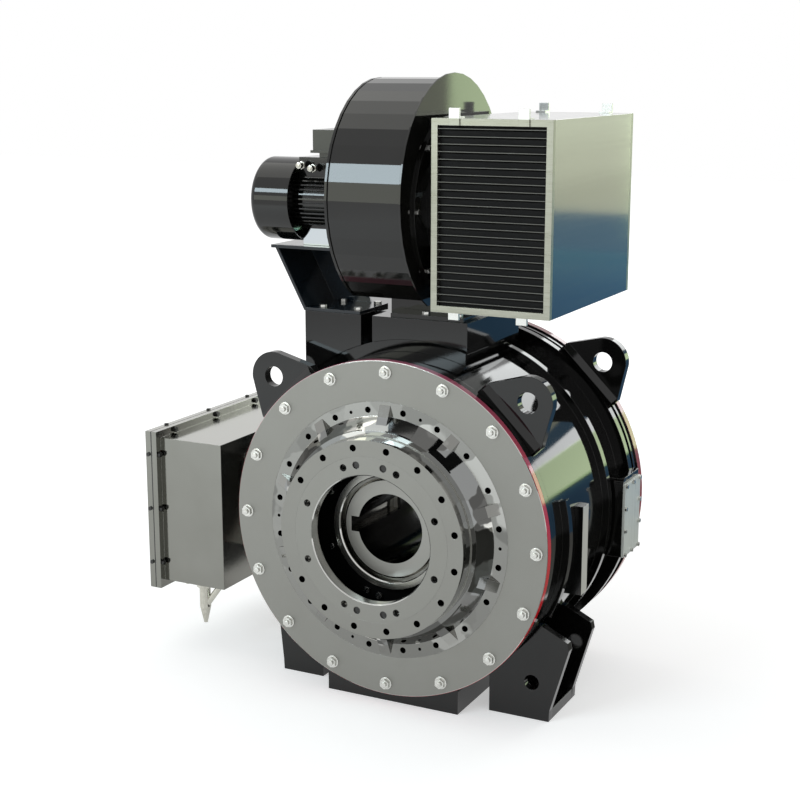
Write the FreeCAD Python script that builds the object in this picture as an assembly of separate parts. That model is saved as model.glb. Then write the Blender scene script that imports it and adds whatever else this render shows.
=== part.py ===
# Flange-mounted permanent magnet synchronous motor with a hollow shaft, a terminal box,
# and a forced-air unit on top: filter box, centrifugal blower and its own small motor.
# Millimetres. The origin is the centre of the drive-end face, +Z is up, the shaft runs along Y
# and its drive end looks towards -Y. Seen from the drive end, angles run clockwise from the top.
import FreeCAD, Part
import math
import os

V = FreeCAD.Vector
os.makedirs("parts", exist_ok=True)

# Driving dimensions of the machine
barrel_radius = 326.0
barrel_rear = 452.0
flange_overhang = 4.0
flange_thickness = 15.0
floor_clearance = 25.0
fit_gap = 0.1
seat_gap = 0.3
flange_radius = barrel_radius + flange_overhang
shaft_height = flange_radius + floor_clearance
floor_z = -shaft_height

# Housing, along Y from the drive end to the rear
barrel_wall = 10.0
front_ring_depth = 18.0
rib_height = 14.0
rib_thickness = 17.0
rib_pitch = 97.0
rear_rib_inset = 52.0
rear_flange_step = 27.0
rear_plate_thickness = 18.0
spigot_step = 56.0
spigot_depth = 15.0
housing_lip = 12.0
side_rib_y = 83.0
side_rib_start = 76.0
side_rib_sweep = 40.0
barrel_inner = barrel_radius - barrel_wall
front_ring_rear = flange_thickness + front_ring_depth
ring_lip = flange_thickness + spigot_depth
rear_rib_y = barrel_rear - rear_rib_inset
middle_rib_y = rear_rib_y - rib_pitch
rear_ring_radius = barrel_radius + rear_flange_step
rear_face = barrel_rear + rear_plate_thickness
spigot_radius = barrel_radius - spigot_step
housing_bore = spigot_radius - housing_lip

# Bolts of the two flanges
flange_bolt_inset = 22.4
flange_bolt_count = 16
rear_bolt_inset = 15.0
bolt_shank = 6.0
bolt_across_flats = 18.0
bolt_head = 8.0
flange_bolt_circle = flange_radius - flange_bolt_inset
rear_bolt_circle = rear_ring_radius - rear_bolt_inset
bolt_hole = bolt_shank + seat_gap

# Drive-end shield, from the flange inwards
hub_front = -64.4
hub_step = -30.0
flange_land = 18.0
hole_ring_inset = 16.0
cone_inset = 28.0
cone_run = 20.0
rim_step = 12.5
shield_hole_count = 20
shield_hole_radius = 6.0
shield_hole_depth = 26.0
dowel_radius = 3.2
dowel_angles = (18, 90, 162, 198, 270, 342)
gusset_count = 10
gusset_width = 22.0
hub_hole_inset = 14.3
hub_hole_pitch_count = 16
hub_holes_missing = (11, 12)
hub_hole_radius = 6.6
hub_hole_depth = 30.0
flange_bore = spigot_radius - flange_land
shield_hole_circle = flange_bore - hole_ring_inset
cone_radius = flange_bore - cone_inset
rim_radius = cone_radius - cone_run
hub_radius = rim_radius - rim_step
hub_hole_circle = hub_radius - hub_hole_inset

# Bearing cover, retainer and bearings
hub_wall = 31.5
cover_width = 36.0
cover_thickness = 20.0
lip_thickness = 12.0
cover_screw_inset = 15.5
cover_screw_angles = (11.25, 168.75, 191.25, 348.75)
access_count = 8
access_radius = 7.0
retainer_thickness = 10.0
retainer_gap = 12.0
retainer_step = 21.0
retainer_screw_radius = 5.0
bearing_lip = 16.0
race_inset = 10.0
race_outer_wall = 9.0
race_inner_wall = 12.0
bearing_section = 40.0
bearing_width = 38.0
rear_bearing_inset = 42.0
boss_wall = 32.0
roller_count = 16
roller_gap = 0.05
cage_ring = 3.0
cover_radius = hub_radius - hub_wall
cover_opening = cover_radius - cover_width
cover_screw_circle = cover_radius - cover_screw_inset
race_outer = cover_radius - race_inset
boss_radius = race_outer + boss_wall
retainer_front = ring_lip
front_bearing_y = retainer_front + retainer_thickness + retainer_gap
front_bearing_end = front_bearing_y + bearing_width
rear_bearing_y = barrel_rear - rear_bearing_inset
rear_bearing_end = rear_bearing_y + bearing_width

# Rotor and stator
shaft_end_step = 11.0
shaft_wall = 30.4
shaft_inset = 12.0
shaft_end_length = 22.0
shaft_chamfer = 4.0
labyrinth_gap = 5.0
shaft_overhang = 12.0
shoulder_step = 6.0
keyway_width = 30.0
keyway_depth = 15.0
keyway_length = 180.0
labyrinth_wall = 9.0
core_inset = 20.0
magnet_thickness = 9.0
magnet_count = 20
magnet_share = 0.86
air_gap = 3.0
stator_clearance = 30.0
stator_depth = 86.0
tooth_tip = 8.0
yoke_depth = 30.0
slot_count = 24
slot_width = 26.0
winding_overhang = 34.0
shaft_seat_radius = race_outer - bearing_section
shaft_end_radius = shaft_seat_radius - shaft_end_step
shaft_bore = shaft_end_radius - shaft_wall
shaft_shoulder = shaft_seat_radius + shoulder_step
shaft_front = retainer_front - shaft_inset
shaft_rear = rear_face + shaft_overhang
labyrinth_radius = shaft_seat_radius + labyrinth_wall
core_front = front_bearing_end + core_inset
core_rear = rear_bearing_y - core_inset
stator_radius = barrel_inner - stator_clearance
stator_bore = stator_radius - stator_depth
slot_depth = stator_depth - tooth_tip - yoke_depth
rotor_radius = stator_bore - air_gap
rotor_core_radius = rotor_radius - magnet_thickness

# Rear end
rear_cover_margin = 15.0
rear_cover_thickness = 16.0
rear_opening_inset = 26.0
rear_screw_inset = 17.0
rear_screw_count = 12
rear_gusset_count = 10
rear_cover_radius = race_outer + rear_cover_margin
rear_opening = race_outer - rear_opening_inset
rear_screw_circle = rear_cover_radius - rear_screw_inset

# Lifting lugs
lug_angle = 45.0
lug_thickness = 20.0
lug_hole_radius = 20.0
lug_tip_radius = 49.0
lug_base_half = 78.0
lug_pad_height = 22.0
front_lug_gap = 9.0
front_lug_rise = 53.0
rear_lug_gap = 4.0
rear_lug_rise = 46.0
front_lug_y = front_ring_rear + front_lug_gap
front_lug_reach = barrel_radius + front_lug_rise
rear_lug_y = rear_rib_y + rear_lug_gap
rear_lug_reach = rear_ring_radius + rear_lug_rise

# Feet and base box
foot_front = 73.0
foot_length = 142.0
foot_plate = 16.0
foot_base = 20.0
foot_wall = 14.0
foot_shoulder = 164.0
foot_crown = 190.0
foot_hole_radius = 15.0
foot_hole_height = 74.0
foot_hole_inset = 36.0
right_foot_inset = 139.0
right_foot_width = 123.0
right_foot_flare = 38.0
left_foot_inset = 144.0
left_foot_width = 92.0
left_foot_flare = 14.0
anchor_radius = 11.0
anchor_spacing = 76.0
base_box_half = 142.0
base_box_front = 25.0
base_box_inset = 22.0
base_box_wall = 12.0
base_box_rise = 126.0
right_foot_inner = barrel_radius - right_foot_inset
right_foot_outer = right_foot_inner + right_foot_width
left_foot_inner = barrel_radius - left_foot_inset
left_foot_outer = left_foot_inner + left_foot_width
base_box_rear = barrel_rear - base_box_inset
base_box_top = base_box_rise - barrel_radius

# Side pad and sensor box on the right-hand side
pad_step = 14.0
pad_y = 152.0
pad_width = 30.0
pad_top = 53.0
pad_bottom = -122.0
sensor_step = 5.0
sensor_length = 94.0
sensor_inset = 28.0
sensor_top = 66.0
sensor_bottom = -96.0
sensor_cover_thickness = 5.0
pad_outer = barrel_radius + pad_step
sensor_outer = rear_ring_radius + sensor_step
sensor_y1 = barrel_rear - sensor_inset
sensor_y0 = sensor_y1 - sensor_length

# Terminal box on the left-hand side
box_gap = 85.0
box_depth = 161.0
box_front = 62.0
box_overhang = 38.0
box_top = 107.0
box_bottom = -203.0
box_wall = 4.0
box_flange = 15.0
box_flange_thickness = 12.0
lid_thickness = 13.0
gasket_thickness = 2.0
neck_inset = 88.0
neck_above = 73.0
neck_below = 37.0
gland_inset = 98.0
gland_setback = 22.0
gland_radius = 14.0
gland_length = 88.0
box_inner = -barrel_radius - box_gap
box_outer = box_inner - box_depth
box_rear = barrel_rear + box_overhang
neck_y0 = box_front + neck_inset
neck_y1 = rear_rib_y
neck_z0 = box_bottom + neck_above
neck_z1 = box_top - neck_below
gland_x = box_outer + gland_inset
gland_y = box_front + gland_setback

# Air plenum on top of the barrel, and the duct below it into the barrel
plenum_rise = 65.0
plenum_left = -238.0
plenum_right = 114.0
plenum_front = 115.5
plenum_margin = 12.0
plenum_wall = 8.0
groove_left = -113.0
groove_width = 25.0
groove_depth = 60.0
saddle_rise = 24.0
duct_left = -62.0
duct_right = 88.0
duct_inset = 34.5
duct_depth = 82.0
plenum_top = barrel_radius + plenum_rise
plenum_skirt = plenum_top - 191.0
saddle_outer = barrel_radius + saddle_rise

# Blower casing
scroll_rise = 47.0
blower_rise = 216.0
blower_inset = 36.5
scroll_radius = 217.5
scroll_offset_y = 13.0
scroll_offset_z = 18.0
scroll_facets = 40
scroll_left = -97.0
scroll_right = 62.0
scroll_lip = 8.0
side_plate_overhang = 9.0
sheet = 3.0
throat_inset_left = 19.0
throat_inset_right = 4.0
throat_inset_rear = 26.5
throat_length = 178.0
mount_flange = 8.0
mount_flange_step = 28.0
mount_flange_inset = 10.0
inlet_step = 14.0
inlet_ring_width = 54.0
inlet_screw_inset = 9.0
inlet_screw_count = 8
blower_y = plenum_front + blower_inset
blower_z = plenum_top + blower_rise
scroll_y = blower_y + scroll_offset_y
scroll_z = blower_z + scroll_offset_z
scroll_bottom = plenum_top + scroll_rise
throat_left = scroll_left + throat_inset_left
throat_right = scroll_right - throat_inset_right
throat_rear = scroll_y + scroll_radius - throat_inset_rear
throat_front = throat_rear - throat_length
plenum_rear = throat_rear + plenum_margin
plenum_duct = (duct_left, duct_right, plenum_front + duct_inset, plenum_front + duct_inset + duct_depth)
mount_flange_left = throat_left + mount_flange_step
mount_flange_right = plenum_right - mount_flange_inset

# Impeller and blower motor
impeller_clearance = 57.5
blade_depth = 34.0
impeller_gap_left = 13.0
impeller_gap_right = 14.0
blade_count = 32
blower_shaft_radius = 12.0
motor_body_radius = 52.0
motor_core_wall = 18.0
motor_fin_height = 8.0
motor_fin_count = 40
motor_length = 171.0
motor_flange_step = 18.0
cowl_step = 21.5
cowl_overlap = 19.0
cowl_length = 88.0
motor_foot_drop = 88.0
motor_foot_half = 24.0
pedestal_inset = 35.0
pedestal_depth = 120.0
pedestal_overhang = 38.0
pedestal_plate = 6.0
pedestal_web_inset = 34.0
motor_box_length = 106.0
impeller_radius = scroll_radius - impeller_clearance
impeller_inner = impeller_radius - blade_depth
impeller_left = scroll_left + impeller_gap_left
impeller_right = scroll_right - impeller_gap_right
inlet_radius = impeller_inner - inlet_step
inlet_ring_radius = inlet_radius + inlet_ring_width
inlet_screw_circle = inlet_ring_radius - inlet_screw_inset
motor_left = scroll_left - motor_length
motor_core_radius = motor_body_radius - motor_core_wall
motor_fin_radius = motor_body_radius + motor_fin_height
motor_flange_radius = motor_body_radius + motor_flange_step
cowl_radius = motor_fin_radius + cowl_step
cowl_right = motor_left + cowl_overlap
cowl_left = cowl_right - cowl_length
motor_foot_z = blower_z - motor_foot_drop
motor_foot_front = blower_y - motor_foot_half
pedestal_front = blower_y - pedestal_inset
pedestal_top_left = motor_left - pedestal_overhang
pedestal_bottom_left = plenum_left - 3.0
pedestal_bottom_right = groove_left - 3.0
pedestal_web_right = pedestal_bottom_right - pedestal_web_inset

# Filter box in front of the blower inlet
filter_gap = 37.0
filter_width = 229.0
filter_overhang = 128.5
filter_length = 422.0
filter_rise = 40.0
filter_height = 343.0
filter_wall = 3.0
frame_width = 12.0
frame_thickness = 10.0
slat_count = 24
slat_thickness = 1.6
slat_drop = 2.2
mat_thickness = 25.0
tab_width = 20.0
tab_inset_left = 45.0
tab_inset_right = 53.0
filter_left = scroll_right + filter_gap
filter_right = filter_left + filter_width
filter_front = plenum_front - filter_overhang
filter_rear = filter_front + filter_length
filter_bottom = plenum_top + filter_rise
filter_top = filter_bottom + filter_height



def box(x0, x1, y0, y1, z0, z1):
    return Part.makeBox(x1 - x0, y1 - y0, z1 - z0, V(x0, y0, z0))


def cylinder(radius, y0, y1, x=0.0, z=0.0):
    return Part.makeCylinder(radius, y1 - y0, V(x, y0, z), V(0, 1, 0))


def cylinder_x(radius, x0, x1, y=blower_y, z=blower_z):
    return Part.makeCylinder(radius, x1 - x0, V(x0, y, z), V(1, 0, 0))


def cylinder_z(radius, z0, z1, x, y):
    return Part.makeCylinder(radius, z1 - z0, V(x, y, z0), V(0, 0, 1))


def revolve(profile, start=0.0, sweep=360.0):
    # profile is a list of (radius, y); the turn runs clockwise from the top seen from -Y
    points = [V(0, y, radius) for radius, y in profile]
    face = Part.Face(Part.makePolygon(points + points[:1]))
    solid = face.revolve(V(0, 0, 0), V(0, 1, 0), sweep)
    if start:
        solid.rotate(V(0, 0, 0), V(0, 1, 0), start)
    return solid


def revolve_x(profile):
    # profile is a list of (radius, x) about the blower axis
    points = [V(x, blower_y, blower_z + radius) for radius, x in profile]
    face = Part.Face(Part.makePolygon(points + points[:1]))
    return face.revolve(V(0, blower_y, blower_z), V(1, 0, 0), 360)


def ring(inner, outer, y0, y1):
    return revolve([(inner, y0), (outer, y0), (outer, y1), (inner, y1)])


def polar(radius, angle, y):
    turn = math.radians(angle)
    return V(radius * math.sin(turn), y, radius * math.cos(turn))


def angles(count, first=0.0):
    return [first + 360.0 * i / count for i in range(count)]


def holes(radius, circle, turn_angles, y0, y1):
    tools = []
    for angle in turn_angles:
        centre = polar(circle, angle, y0)
        tools.append(cylinder(radius, y0, y1, centre.x, centre.z))
    return tools


def prism(points, direction):
    return Part.Face(Part.makePolygon(points + points[:1])).extrude(direction)


def hex_head(across_flats, height, base, direction):
    # a hexagon head that grows from base along a unit direction
    circle = across_flats / math.sqrt(3)
    side = V(1, 0, 0) if abs(direction.x) < 0.5 else V(0, 1, 0)
    other = direction.cross(side)
    corners = []
    for i in range(6):
        turn = math.radians(60 * i + 30)
        corners.append(base + side * (circle * math.cos(turn)) + other * (circle * math.sin(turn)))
    return prism(corners, direction * height)


def bolt(across_flats, head, shank_radius, shank_length, seat, direction):
    # the head stands on the seat along direction, and the shank runs the other way
    shank = Part.makeCylinder(shank_radius, shank_length, seat, direction * -1)
    return hex_head(across_flats, head, seat, direction).fuse(shank)


def cap_screw(head_radius, head, shank_radius, shank_length, seat, direction):
    shank = Part.makeCylinder(shank_radius, shank_length, seat, direction * -1)
    return Part.makeCylinder(head_radius, head, seat, direction).fuse(shank)


def group(solids):
    return Part.Compound(solids)


def save(node, shape):
    shape.exportStep("parts/" + node + ".step")


def housing():
    seat_width = 12.0
    middle_seat = (core_front + core_rear) / 2 - seat_width / 2
    inner_ring = stator_radius + fit_gap
    rear_ring_front = barrel_rear - 16.0
    outline = [
        (spigot_radius, flange_thickness),
        (flange_radius, flange_thickness),
        (flange_radius, front_ring_rear),
        (barrel_radius, front_ring_rear),
        (barrel_radius, middle_rib_y),
        (barrel_radius + rib_height, middle_rib_y),
        (barrel_radius + rib_height, middle_rib_y + rib_thickness),
        (barrel_radius, middle_rib_y + rib_thickness),
        (barrel_radius, rear_rib_y),
        (rear_ring_radius, rear_rib_y),
        (rear_ring_radius, rear_rib_y + rib_thickness),
        (barrel_radius, rear_rib_y + rib_thickness),
        (barrel_radius, rear_ring_front),
        (rear_ring_radius - 3, rear_ring_front),
        (rear_ring_radius - 3, barrel_rear),
        (spigot_radius, barrel_rear),
        (spigot_radius, rear_ring_front),
        (barrel_inner, rear_ring_front),
    ]
    for seat_y in (core_rear - seat_width, middle_seat, core_front):
        outline += [
            (barrel_inner, seat_y + seat_width),
            (inner_ring, seat_y + seat_width),
            (inner_ring, seat_y),
            (barrel_inner, seat_y),
        ]
    outline += [
        (barrel_inner, ring_lip + 12),
        (housing_bore, ring_lip + 12),
        (housing_bore, ring_lip),
        (spigot_radius, ring_lip),
    ]
    body = revolve(outline)
    side_rib = revolve([
        (barrel_radius - 2, side_rib_y),
        (barrel_radius + rib_height, side_rib_y),
        (barrel_radius + rib_height, side_rib_y + rib_thickness),
        (barrel_radius - 2, side_rib_y + rib_thickness),
    ], side_rib_start, side_rib_sweep)
    body = body.fuse(side_rib)
    cuts = holes(bolt_hole, flange_bolt_circle, angles(flange_bolt_count), flange_thickness - 1, ring_lip + 13)
    cuts += holes(bolt_hole, rear_bolt_circle, angles(flange_bolt_count), rear_ring_front - 1, barrel_rear + 1)
    cuts.append(box(plenum_duct[0], plenum_duct[1], plenum_duct[2], plenum_duct[3], barrel_inner - 30, saddle_outer))
    return body.cut(cuts).removeSplitter()


def drive_end_flange():
    edge = 1.5
    plate = revolve([
        (flange_bore + fit_gap, 0),
        (flange_radius - edge, 0),
        (flange_radius, edge),
        (flange_radius, flange_thickness),
        (flange_bore + fit_gap, flange_thickness),
    ])
    return plate.cut(holes(bolt_hole, flange_bolt_circle, angles(flange_bolt_count), -1, flange_thickness + 1))


def flange_bolts():
    length = flange_thickness + 24
    return group([
        bolt(bolt_across_flats, bolt_head, bolt_shank, length, polar(flange_bolt_circle, angle, 0), V(0, -1, 0))
        for angle in angles(flange_bolt_count)
    ])


def gusset(angle, foot_y, direction, inner, outer, height):
    # a radial wedge that is tallest at the hub and runs out on the ring
    half = gusset_width / 2
    points = [V(-half, foot_y, inner), V(-half, foot_y, outer), V(-half, foot_y + direction * height, inner)]
    wedge = prism(points, V(gusset_width, 0, 0))
    wedge.rotate(V(0, 0, 0), V(0, 1, 0), angle)
    return wedge


def drive_end_shield():
    wall = 14.0
    cavity = race_outer + retainer_step + 1
    cover_seat = hub_front + cover_thickness
    lip_rear = cover_seat + lip_thickness
    retainer_rear = retainer_front + retainer_thickness
    boss_end = front_bearing_end + 6
    body = revolve([
        (cover_radius + fit_gap, hub_front),
        (hub_radius, hub_front),
        (hub_radius, hub_step),
        (rim_radius - 2, hub_step),
        (rim_radius, hub_step + 3),
        (cone_radius, 0),
        (flange_bore, 0),
        (flange_bore, flange_thickness),
        (spigot_radius - fit_gap, flange_thickness),
        (spigot_radius - fit_gap, ring_lip - fit_gap),
        (cone_radius + wall, ring_lip - fit_gap),
        (rim_radius + 2, -6),
        (boss_radius, -6),
        (boss_radius, boss_end),
        (race_outer + fit_gap, boss_end),
        (race_outer + fit_gap, front_bearing_y - fit_gap),
        (race_outer - bearing_lip, front_bearing_y - fit_gap),
        (race_outer - bearing_lip, retainer_rear),
        (cavity, retainer_rear),
        (cavity, lip_rear),
        (cover_opening + 6, lip_rear),
        (cover_opening + 6, cover_seat),
        (cover_radius + fit_gap, cover_seat),
    ])
    ribs = [gusset(a, 2.0, -1, rim_radius - 8, flange_bore - 2, -hub_step - 3) for a in angles(gusset_count)]
    body = body.fuse(ribs)
    hub_angles = [
        a for i, a in enumerate(angles(hub_hole_pitch_count, 11.25)) if i not in hub_holes_missing
    ]
    cuts = holes(shield_hole_radius, shield_hole_circle, angles(shield_hole_count, 9.0), -8, shield_hole_depth)
    cuts += holes(dowel_radius, shield_hole_circle, dowel_angles, -8, 12)
    cuts += holes(hub_hole_radius, hub_hole_circle, hub_angles, hub_front - 1, hub_front + hub_hole_depth)
    cuts += holes(access_radius, cover_screw_circle, angles(access_count, 22.5), cover_seat - 1, lip_rear + 1)
    cuts += holes(4.3, cover_screw_circle, cover_screw_angles, cover_seat - 1, lip_rear + 1)
    tapped = retainer_screw_radius + seat_gap
    cuts += holes(tapped, cover_screw_circle, retainer_screw_angles, retainer_rear - 1, retainer_rear + 8)
    return body.cut(cuts).removeSplitter()


def bearing_cover():
    edge = 2.0
    cover_rear = hub_front + cover_thickness
    body = revolve([
        (cover_opening + edge, hub_front),
        (cover_radius, hub_front),
        (cover_radius, cover_rear),
        (cover_opening, cover_rear),
        (cover_opening, hub_front + edge),
    ])
    cuts = holes(access_radius, cover_screw_circle, angles(access_count, 22.5), hub_front - 1, cover_rear + 1)
    cuts += holes(4.3, cover_screw_circle, cover_screw_angles, hub_front - 1, cover_rear + 1)
    cuts += holes(7.2, cover_screw_circle, cover_screw_angles, hub_front - 1, hub_front + 10)
    return body.cut(cuts)


def bearing_cover_screws():
    return group([
        cap_screw(6.6, 7.0, 4.0, cover_thickness - 10 + 8, polar(cover_screw_circle, a, hub_front + 10), V(0, -1, 0))
        for a in cover_screw_angles
    ])


def bearing_retainer():
    rear = retainer_front + retainer_thickness
    body = ring(labyrinth_radius + 3, race_outer + retainer_step, retainer_front, rear)
    hole = retainer_screw_radius + seat_gap
    return body.cut(holes(hole, cover_screw_circle, retainer_screw_angles, retainer_front - 1, rear + 1))


# The screws of the retainer stand behind the holes of the bearing cover
retainer_screw_angles = tuple(angles(access_count, 22.5)) + cover_screw_angles


def retainer_screws():
    length = retainer_thickness + 7
    return group([
        cap_screw(6.6, 6.0, retainer_screw_radius, length, polar(cover_screw_circle, a, retainer_front), V(0, -1, 0))
        for a in retainer_screw_angles
    ])


def outer_race(y0):
    return ring(race_outer - race_outer_wall, race_outer, y0, y0 + bearing_width)


def inner_race(y0):
    return ring(shaft_seat_radius + 0.05, shaft_seat_radius + race_inner_wall, y0, y0 + bearing_width)


def rolling_set(y0):
    inner = shaft_seat_radius + race_inner_wall
    outer = race_outer - race_outer_wall
    radius = (outer - inner) / 2 - roller_gap
    circle = (outer + inner) / 2
    rollers = []
    for angle in angles(roller_count):
        centre = polar(circle, angle, 0)
        rollers.append(cylinder(radius, y0 + cage_ring + 2, y0 + bearing_width - cage_ring - 2, centre.x, centre.z))
    cage = [
        ring(inner + 3, outer - 3, y0 + 2, y0 + 2 + cage_ring),
        ring(inner + 3, outer - 3, y0 + bearing_width - 2 - cage_ring, y0 + bearing_width - 2),
    ]
    return group(rollers + cage)


def hollow_shaft():
    collar = 14.0
    body = revolve([
        (shaft_bore, shaft_front),
        (shaft_end_radius - shaft_chamfer, shaft_front),
        (shaft_end_radius, shaft_front + shaft_chamfer),
        (shaft_end_radius, shaft_front + shaft_end_length),
        (shaft_seat_radius, shaft_front + shaft_end_length),
        (shaft_seat_radius, front_bearing_end + 2),
        (shaft_shoulder, front_bearing_end + 2),
        (shaft_shoulder, core_front - collar),
        (shaft_shoulder + 8, core_front - collar),
        (shaft_shoulder + 8, core_front),
        (shaft_shoulder, core_front),
        (shaft_shoulder, rear_bearing_y - 2),
        (shaft_seat_radius, rear_bearing_y - 2),
        (shaft_seat_radius, rear_bearing_end + 2),
        (shaft_end_radius, rear_bearing_end + 2),
        (shaft_end_radius, shaft_rear),
        (shaft_bore, shaft_rear),
    ])
    keyway = box(
        -shaft_bore - keyway_depth, 0, shaft_front - 1, shaft_front + keyway_length, -keyway_width / 2, keyway_width / 2
    )
    return body.cut(keyway)


def labyrinth_ring():
    # a ring on the bearing seat that reaches forward round the shaft's end, clear of it
    inner = shaft_end_radius + labyrinth_gap
    step = shaft_front + shaft_end_length - 0.5
    front = shaft_front - 8
    return revolve([
        (inner, front + 2),
        (inner + 2, front),
        (labyrinth_radius - 1, front),
        (labyrinth_radius, front + 1),
        (labyrinth_radius, front_bearing_y),
        (shaft_seat_radius + 0.05, front_bearing_y),
        (shaft_seat_radius + 0.05, step),
        (inner, step),
    ])


def rotor_core():
    return ring(shaft_shoulder + 0.05, rotor_core_radius, core_front + 0.05, core_rear)


def rotor_magnets():
    sweep = 360.0 / magnet_count * magnet_share
    profile = [
        (rotor_core_radius + 0.05, core_front + 2),
        (rotor_radius, core_front + 2),
        (rotor_radius, core_rear - 2),
        (rotor_core_radius + 0.05, core_rear - 2),
    ]
    return group([revolve(profile, a - sweep / 2, sweep) for a in angles(magnet_count)])


def slot_bars(width, depth, y0, y1):
    bars = []
    for angle in angles(slot_count):
        bar = box(-width / 2, width / 2, y0, y1, stator_bore + tooth_tip, stator_bore + tooth_tip + depth)
        bar.rotate(V(0, 0, 0), V(0, 1, 0), angle)
        bars.append(bar)
    return bars


def stator_core():
    body = ring(stator_bore, stator_radius, core_front, core_rear)
    return body.cut(slot_bars(slot_width, slot_depth, core_front - 1, core_rear + 1))


def stator_windings():
    clearance = 0.5
    bars = slot_bars(slot_width - 2 * clearance, slot_depth - 2 * clearance, core_front - 6, core_rear + 6)
    inner = stator_bore + tooth_tip + clearance
    outer = inner + slot_depth - 2
    heads = []
    for y0, y1 in ((core_front - winding_overhang / 2, core_front - 5), (core_rear + 5, core_rear + winding_overhang / 2)):
        heads.append(ring(inner, outer, y0, y1))
    return heads[0].fuse(bars + heads[1:])


def rear_end_shield():
    boss_start = rear_bearing_y - 6
    body = revolve([
        (rear_ring_radius, barrel_rear),
        (rear_ring_radius, rear_face),
        (rear_cover_radius + 15, rear_face),
        (rear_cover_radius + 15, rear_face + 4),
        (rear_opening + 4, rear_face + 4),
        (rear_opening + 4, rear_bearing_end),
        (race_outer + fit_gap, rear_bearing_end),
        (race_outer + fit_gap, rear_bearing_y - fit_gap),
        (race_outer - 9, rear_bearing_y - fit_gap),
        (race_outer - 9, boss_start),
        (race_outer + 18, boss_start),
        (race_outer + 18, barrel_rear),
        (spigot_radius - 14, barrel_rear),
        (spigot_radius - 14, barrel_rear - 10),
        (spigot_radius - fit_gap, barrel_rear - 10),
        (spigot_radius - fit_gap, barrel_rear),
    ])
    ribs = [
        gusset(a, rear_face - 1, 1, rear_cover_radius + 14, rear_ring_radius - 40, 5.0)
        for a in angles(rear_gusset_count, 18.0)
    ]
    body = body.fuse(ribs)
    cuts = holes(bolt_hole, rear_bolt_circle, angles(flange_bolt_count), barrel_rear - 1, rear_face + 1)
    cuts += holes(5.3, rear_screw_circle, angles(rear_screw_count), rear_face - 14, rear_face + 5)
    return body.cut(cuts).removeSplitter()


def rear_flange_bolts():
    length = rear_plate_thickness + 14
    return group([
        bolt(bolt_across_flats, bolt_head, bolt_shank, length, polar(rear_bolt_circle, a, rear_face), V(0, 1, 0))
        for a in angles(flange_bolt_count)
    ])


def rear_bearing_cover():
    seat = rear_face + 4
    body = revolve([
        (shaft_end_radius + 3, seat),
        (rear_cover_radius, seat),
        (rear_cover_radius, seat + rear_cover_thickness - 2),
        (rear_cover_radius - 2, seat + rear_cover_thickness),
        (shaft_end_radius + 3, seat + rear_cover_thickness),
    ])
    return body.cut(holes(5.3, rear_screw_circle, angles(rear_screw_count), seat - 1, seat + 20))


def rear_cover_screws():
    seat = rear_face + 4 + rear_cover_thickness
    return group([
        bolt(16.0, 6.5, 5.0, rear_cover_thickness + 14, polar(rear_screw_circle, a, seat), V(0, 1, 0))
        for a in angles(rear_screw_count)
    ])


def lug(angle, y0, reach, seat_radius):
    # a plate with a round tip that flares to the barrel, with a chamfered pad along its foot
    foot = seat_radius - 6
    tangent = math.radians(38)
    tip = V(0, 0, reach)
    left = V(-lug_tip_radius * math.cos(tangent), 0, reach + lug_tip_radius * math.sin(tangent))
    right = V(-left.x, 0, left.z)
    top = V(0, 0, reach + lug_tip_radius)
    base_z = seat_radius + 4
    corner = V(lug_base_half, 0, base_z + 10)
    mirrored = V(-corner.x, 0, corner.z)
    edges = [
        Part.Arc(left, top, right).toShape(),
        Part.makeLine(right, corner),
        Part.makeLine(corner, V(lug_base_half, 0, foot - 6)),
        Part.makeLine(V(lug_base_half, 0, foot - 6), V(-lug_base_half, 0, foot - 6)),
        Part.makeLine(V(-lug_base_half, 0, foot - 6), mirrored),
        Part.makeLine(mirrored, left),
    ]
    plate = Part.Face(Part.Wire(edges)).extrude(V(0, lug_thickness, 0))
    pad = prism([
        V(-lug_base_half + 4, 0, base_z - 8),
        V(-lug_base_half + 4, 0, base_z + lug_pad_height - 8),
        V(-lug_base_half + 4, -8, base_z + 2),
        V(-lug_base_half + 4, -8, base_z - 8),
    ], V(2 * lug_base_half - 8, 0, 0))
    body = plate.fuse(pad)
    body = body.cut(Part.makeCylinder(lug_hole_radius, lug_thickness + 2, tip - V(0, 1, 0), V(0, 1, 0)))
    body.translate(V(0, y0, 0))
    body.rotate(V(0, 0, 0), V(0, 1, 0), angle)
    return body.cut(cylinder(seat_radius, y0 - 20, y0 + lug_thickness + 1)).removeSplitter()


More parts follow.
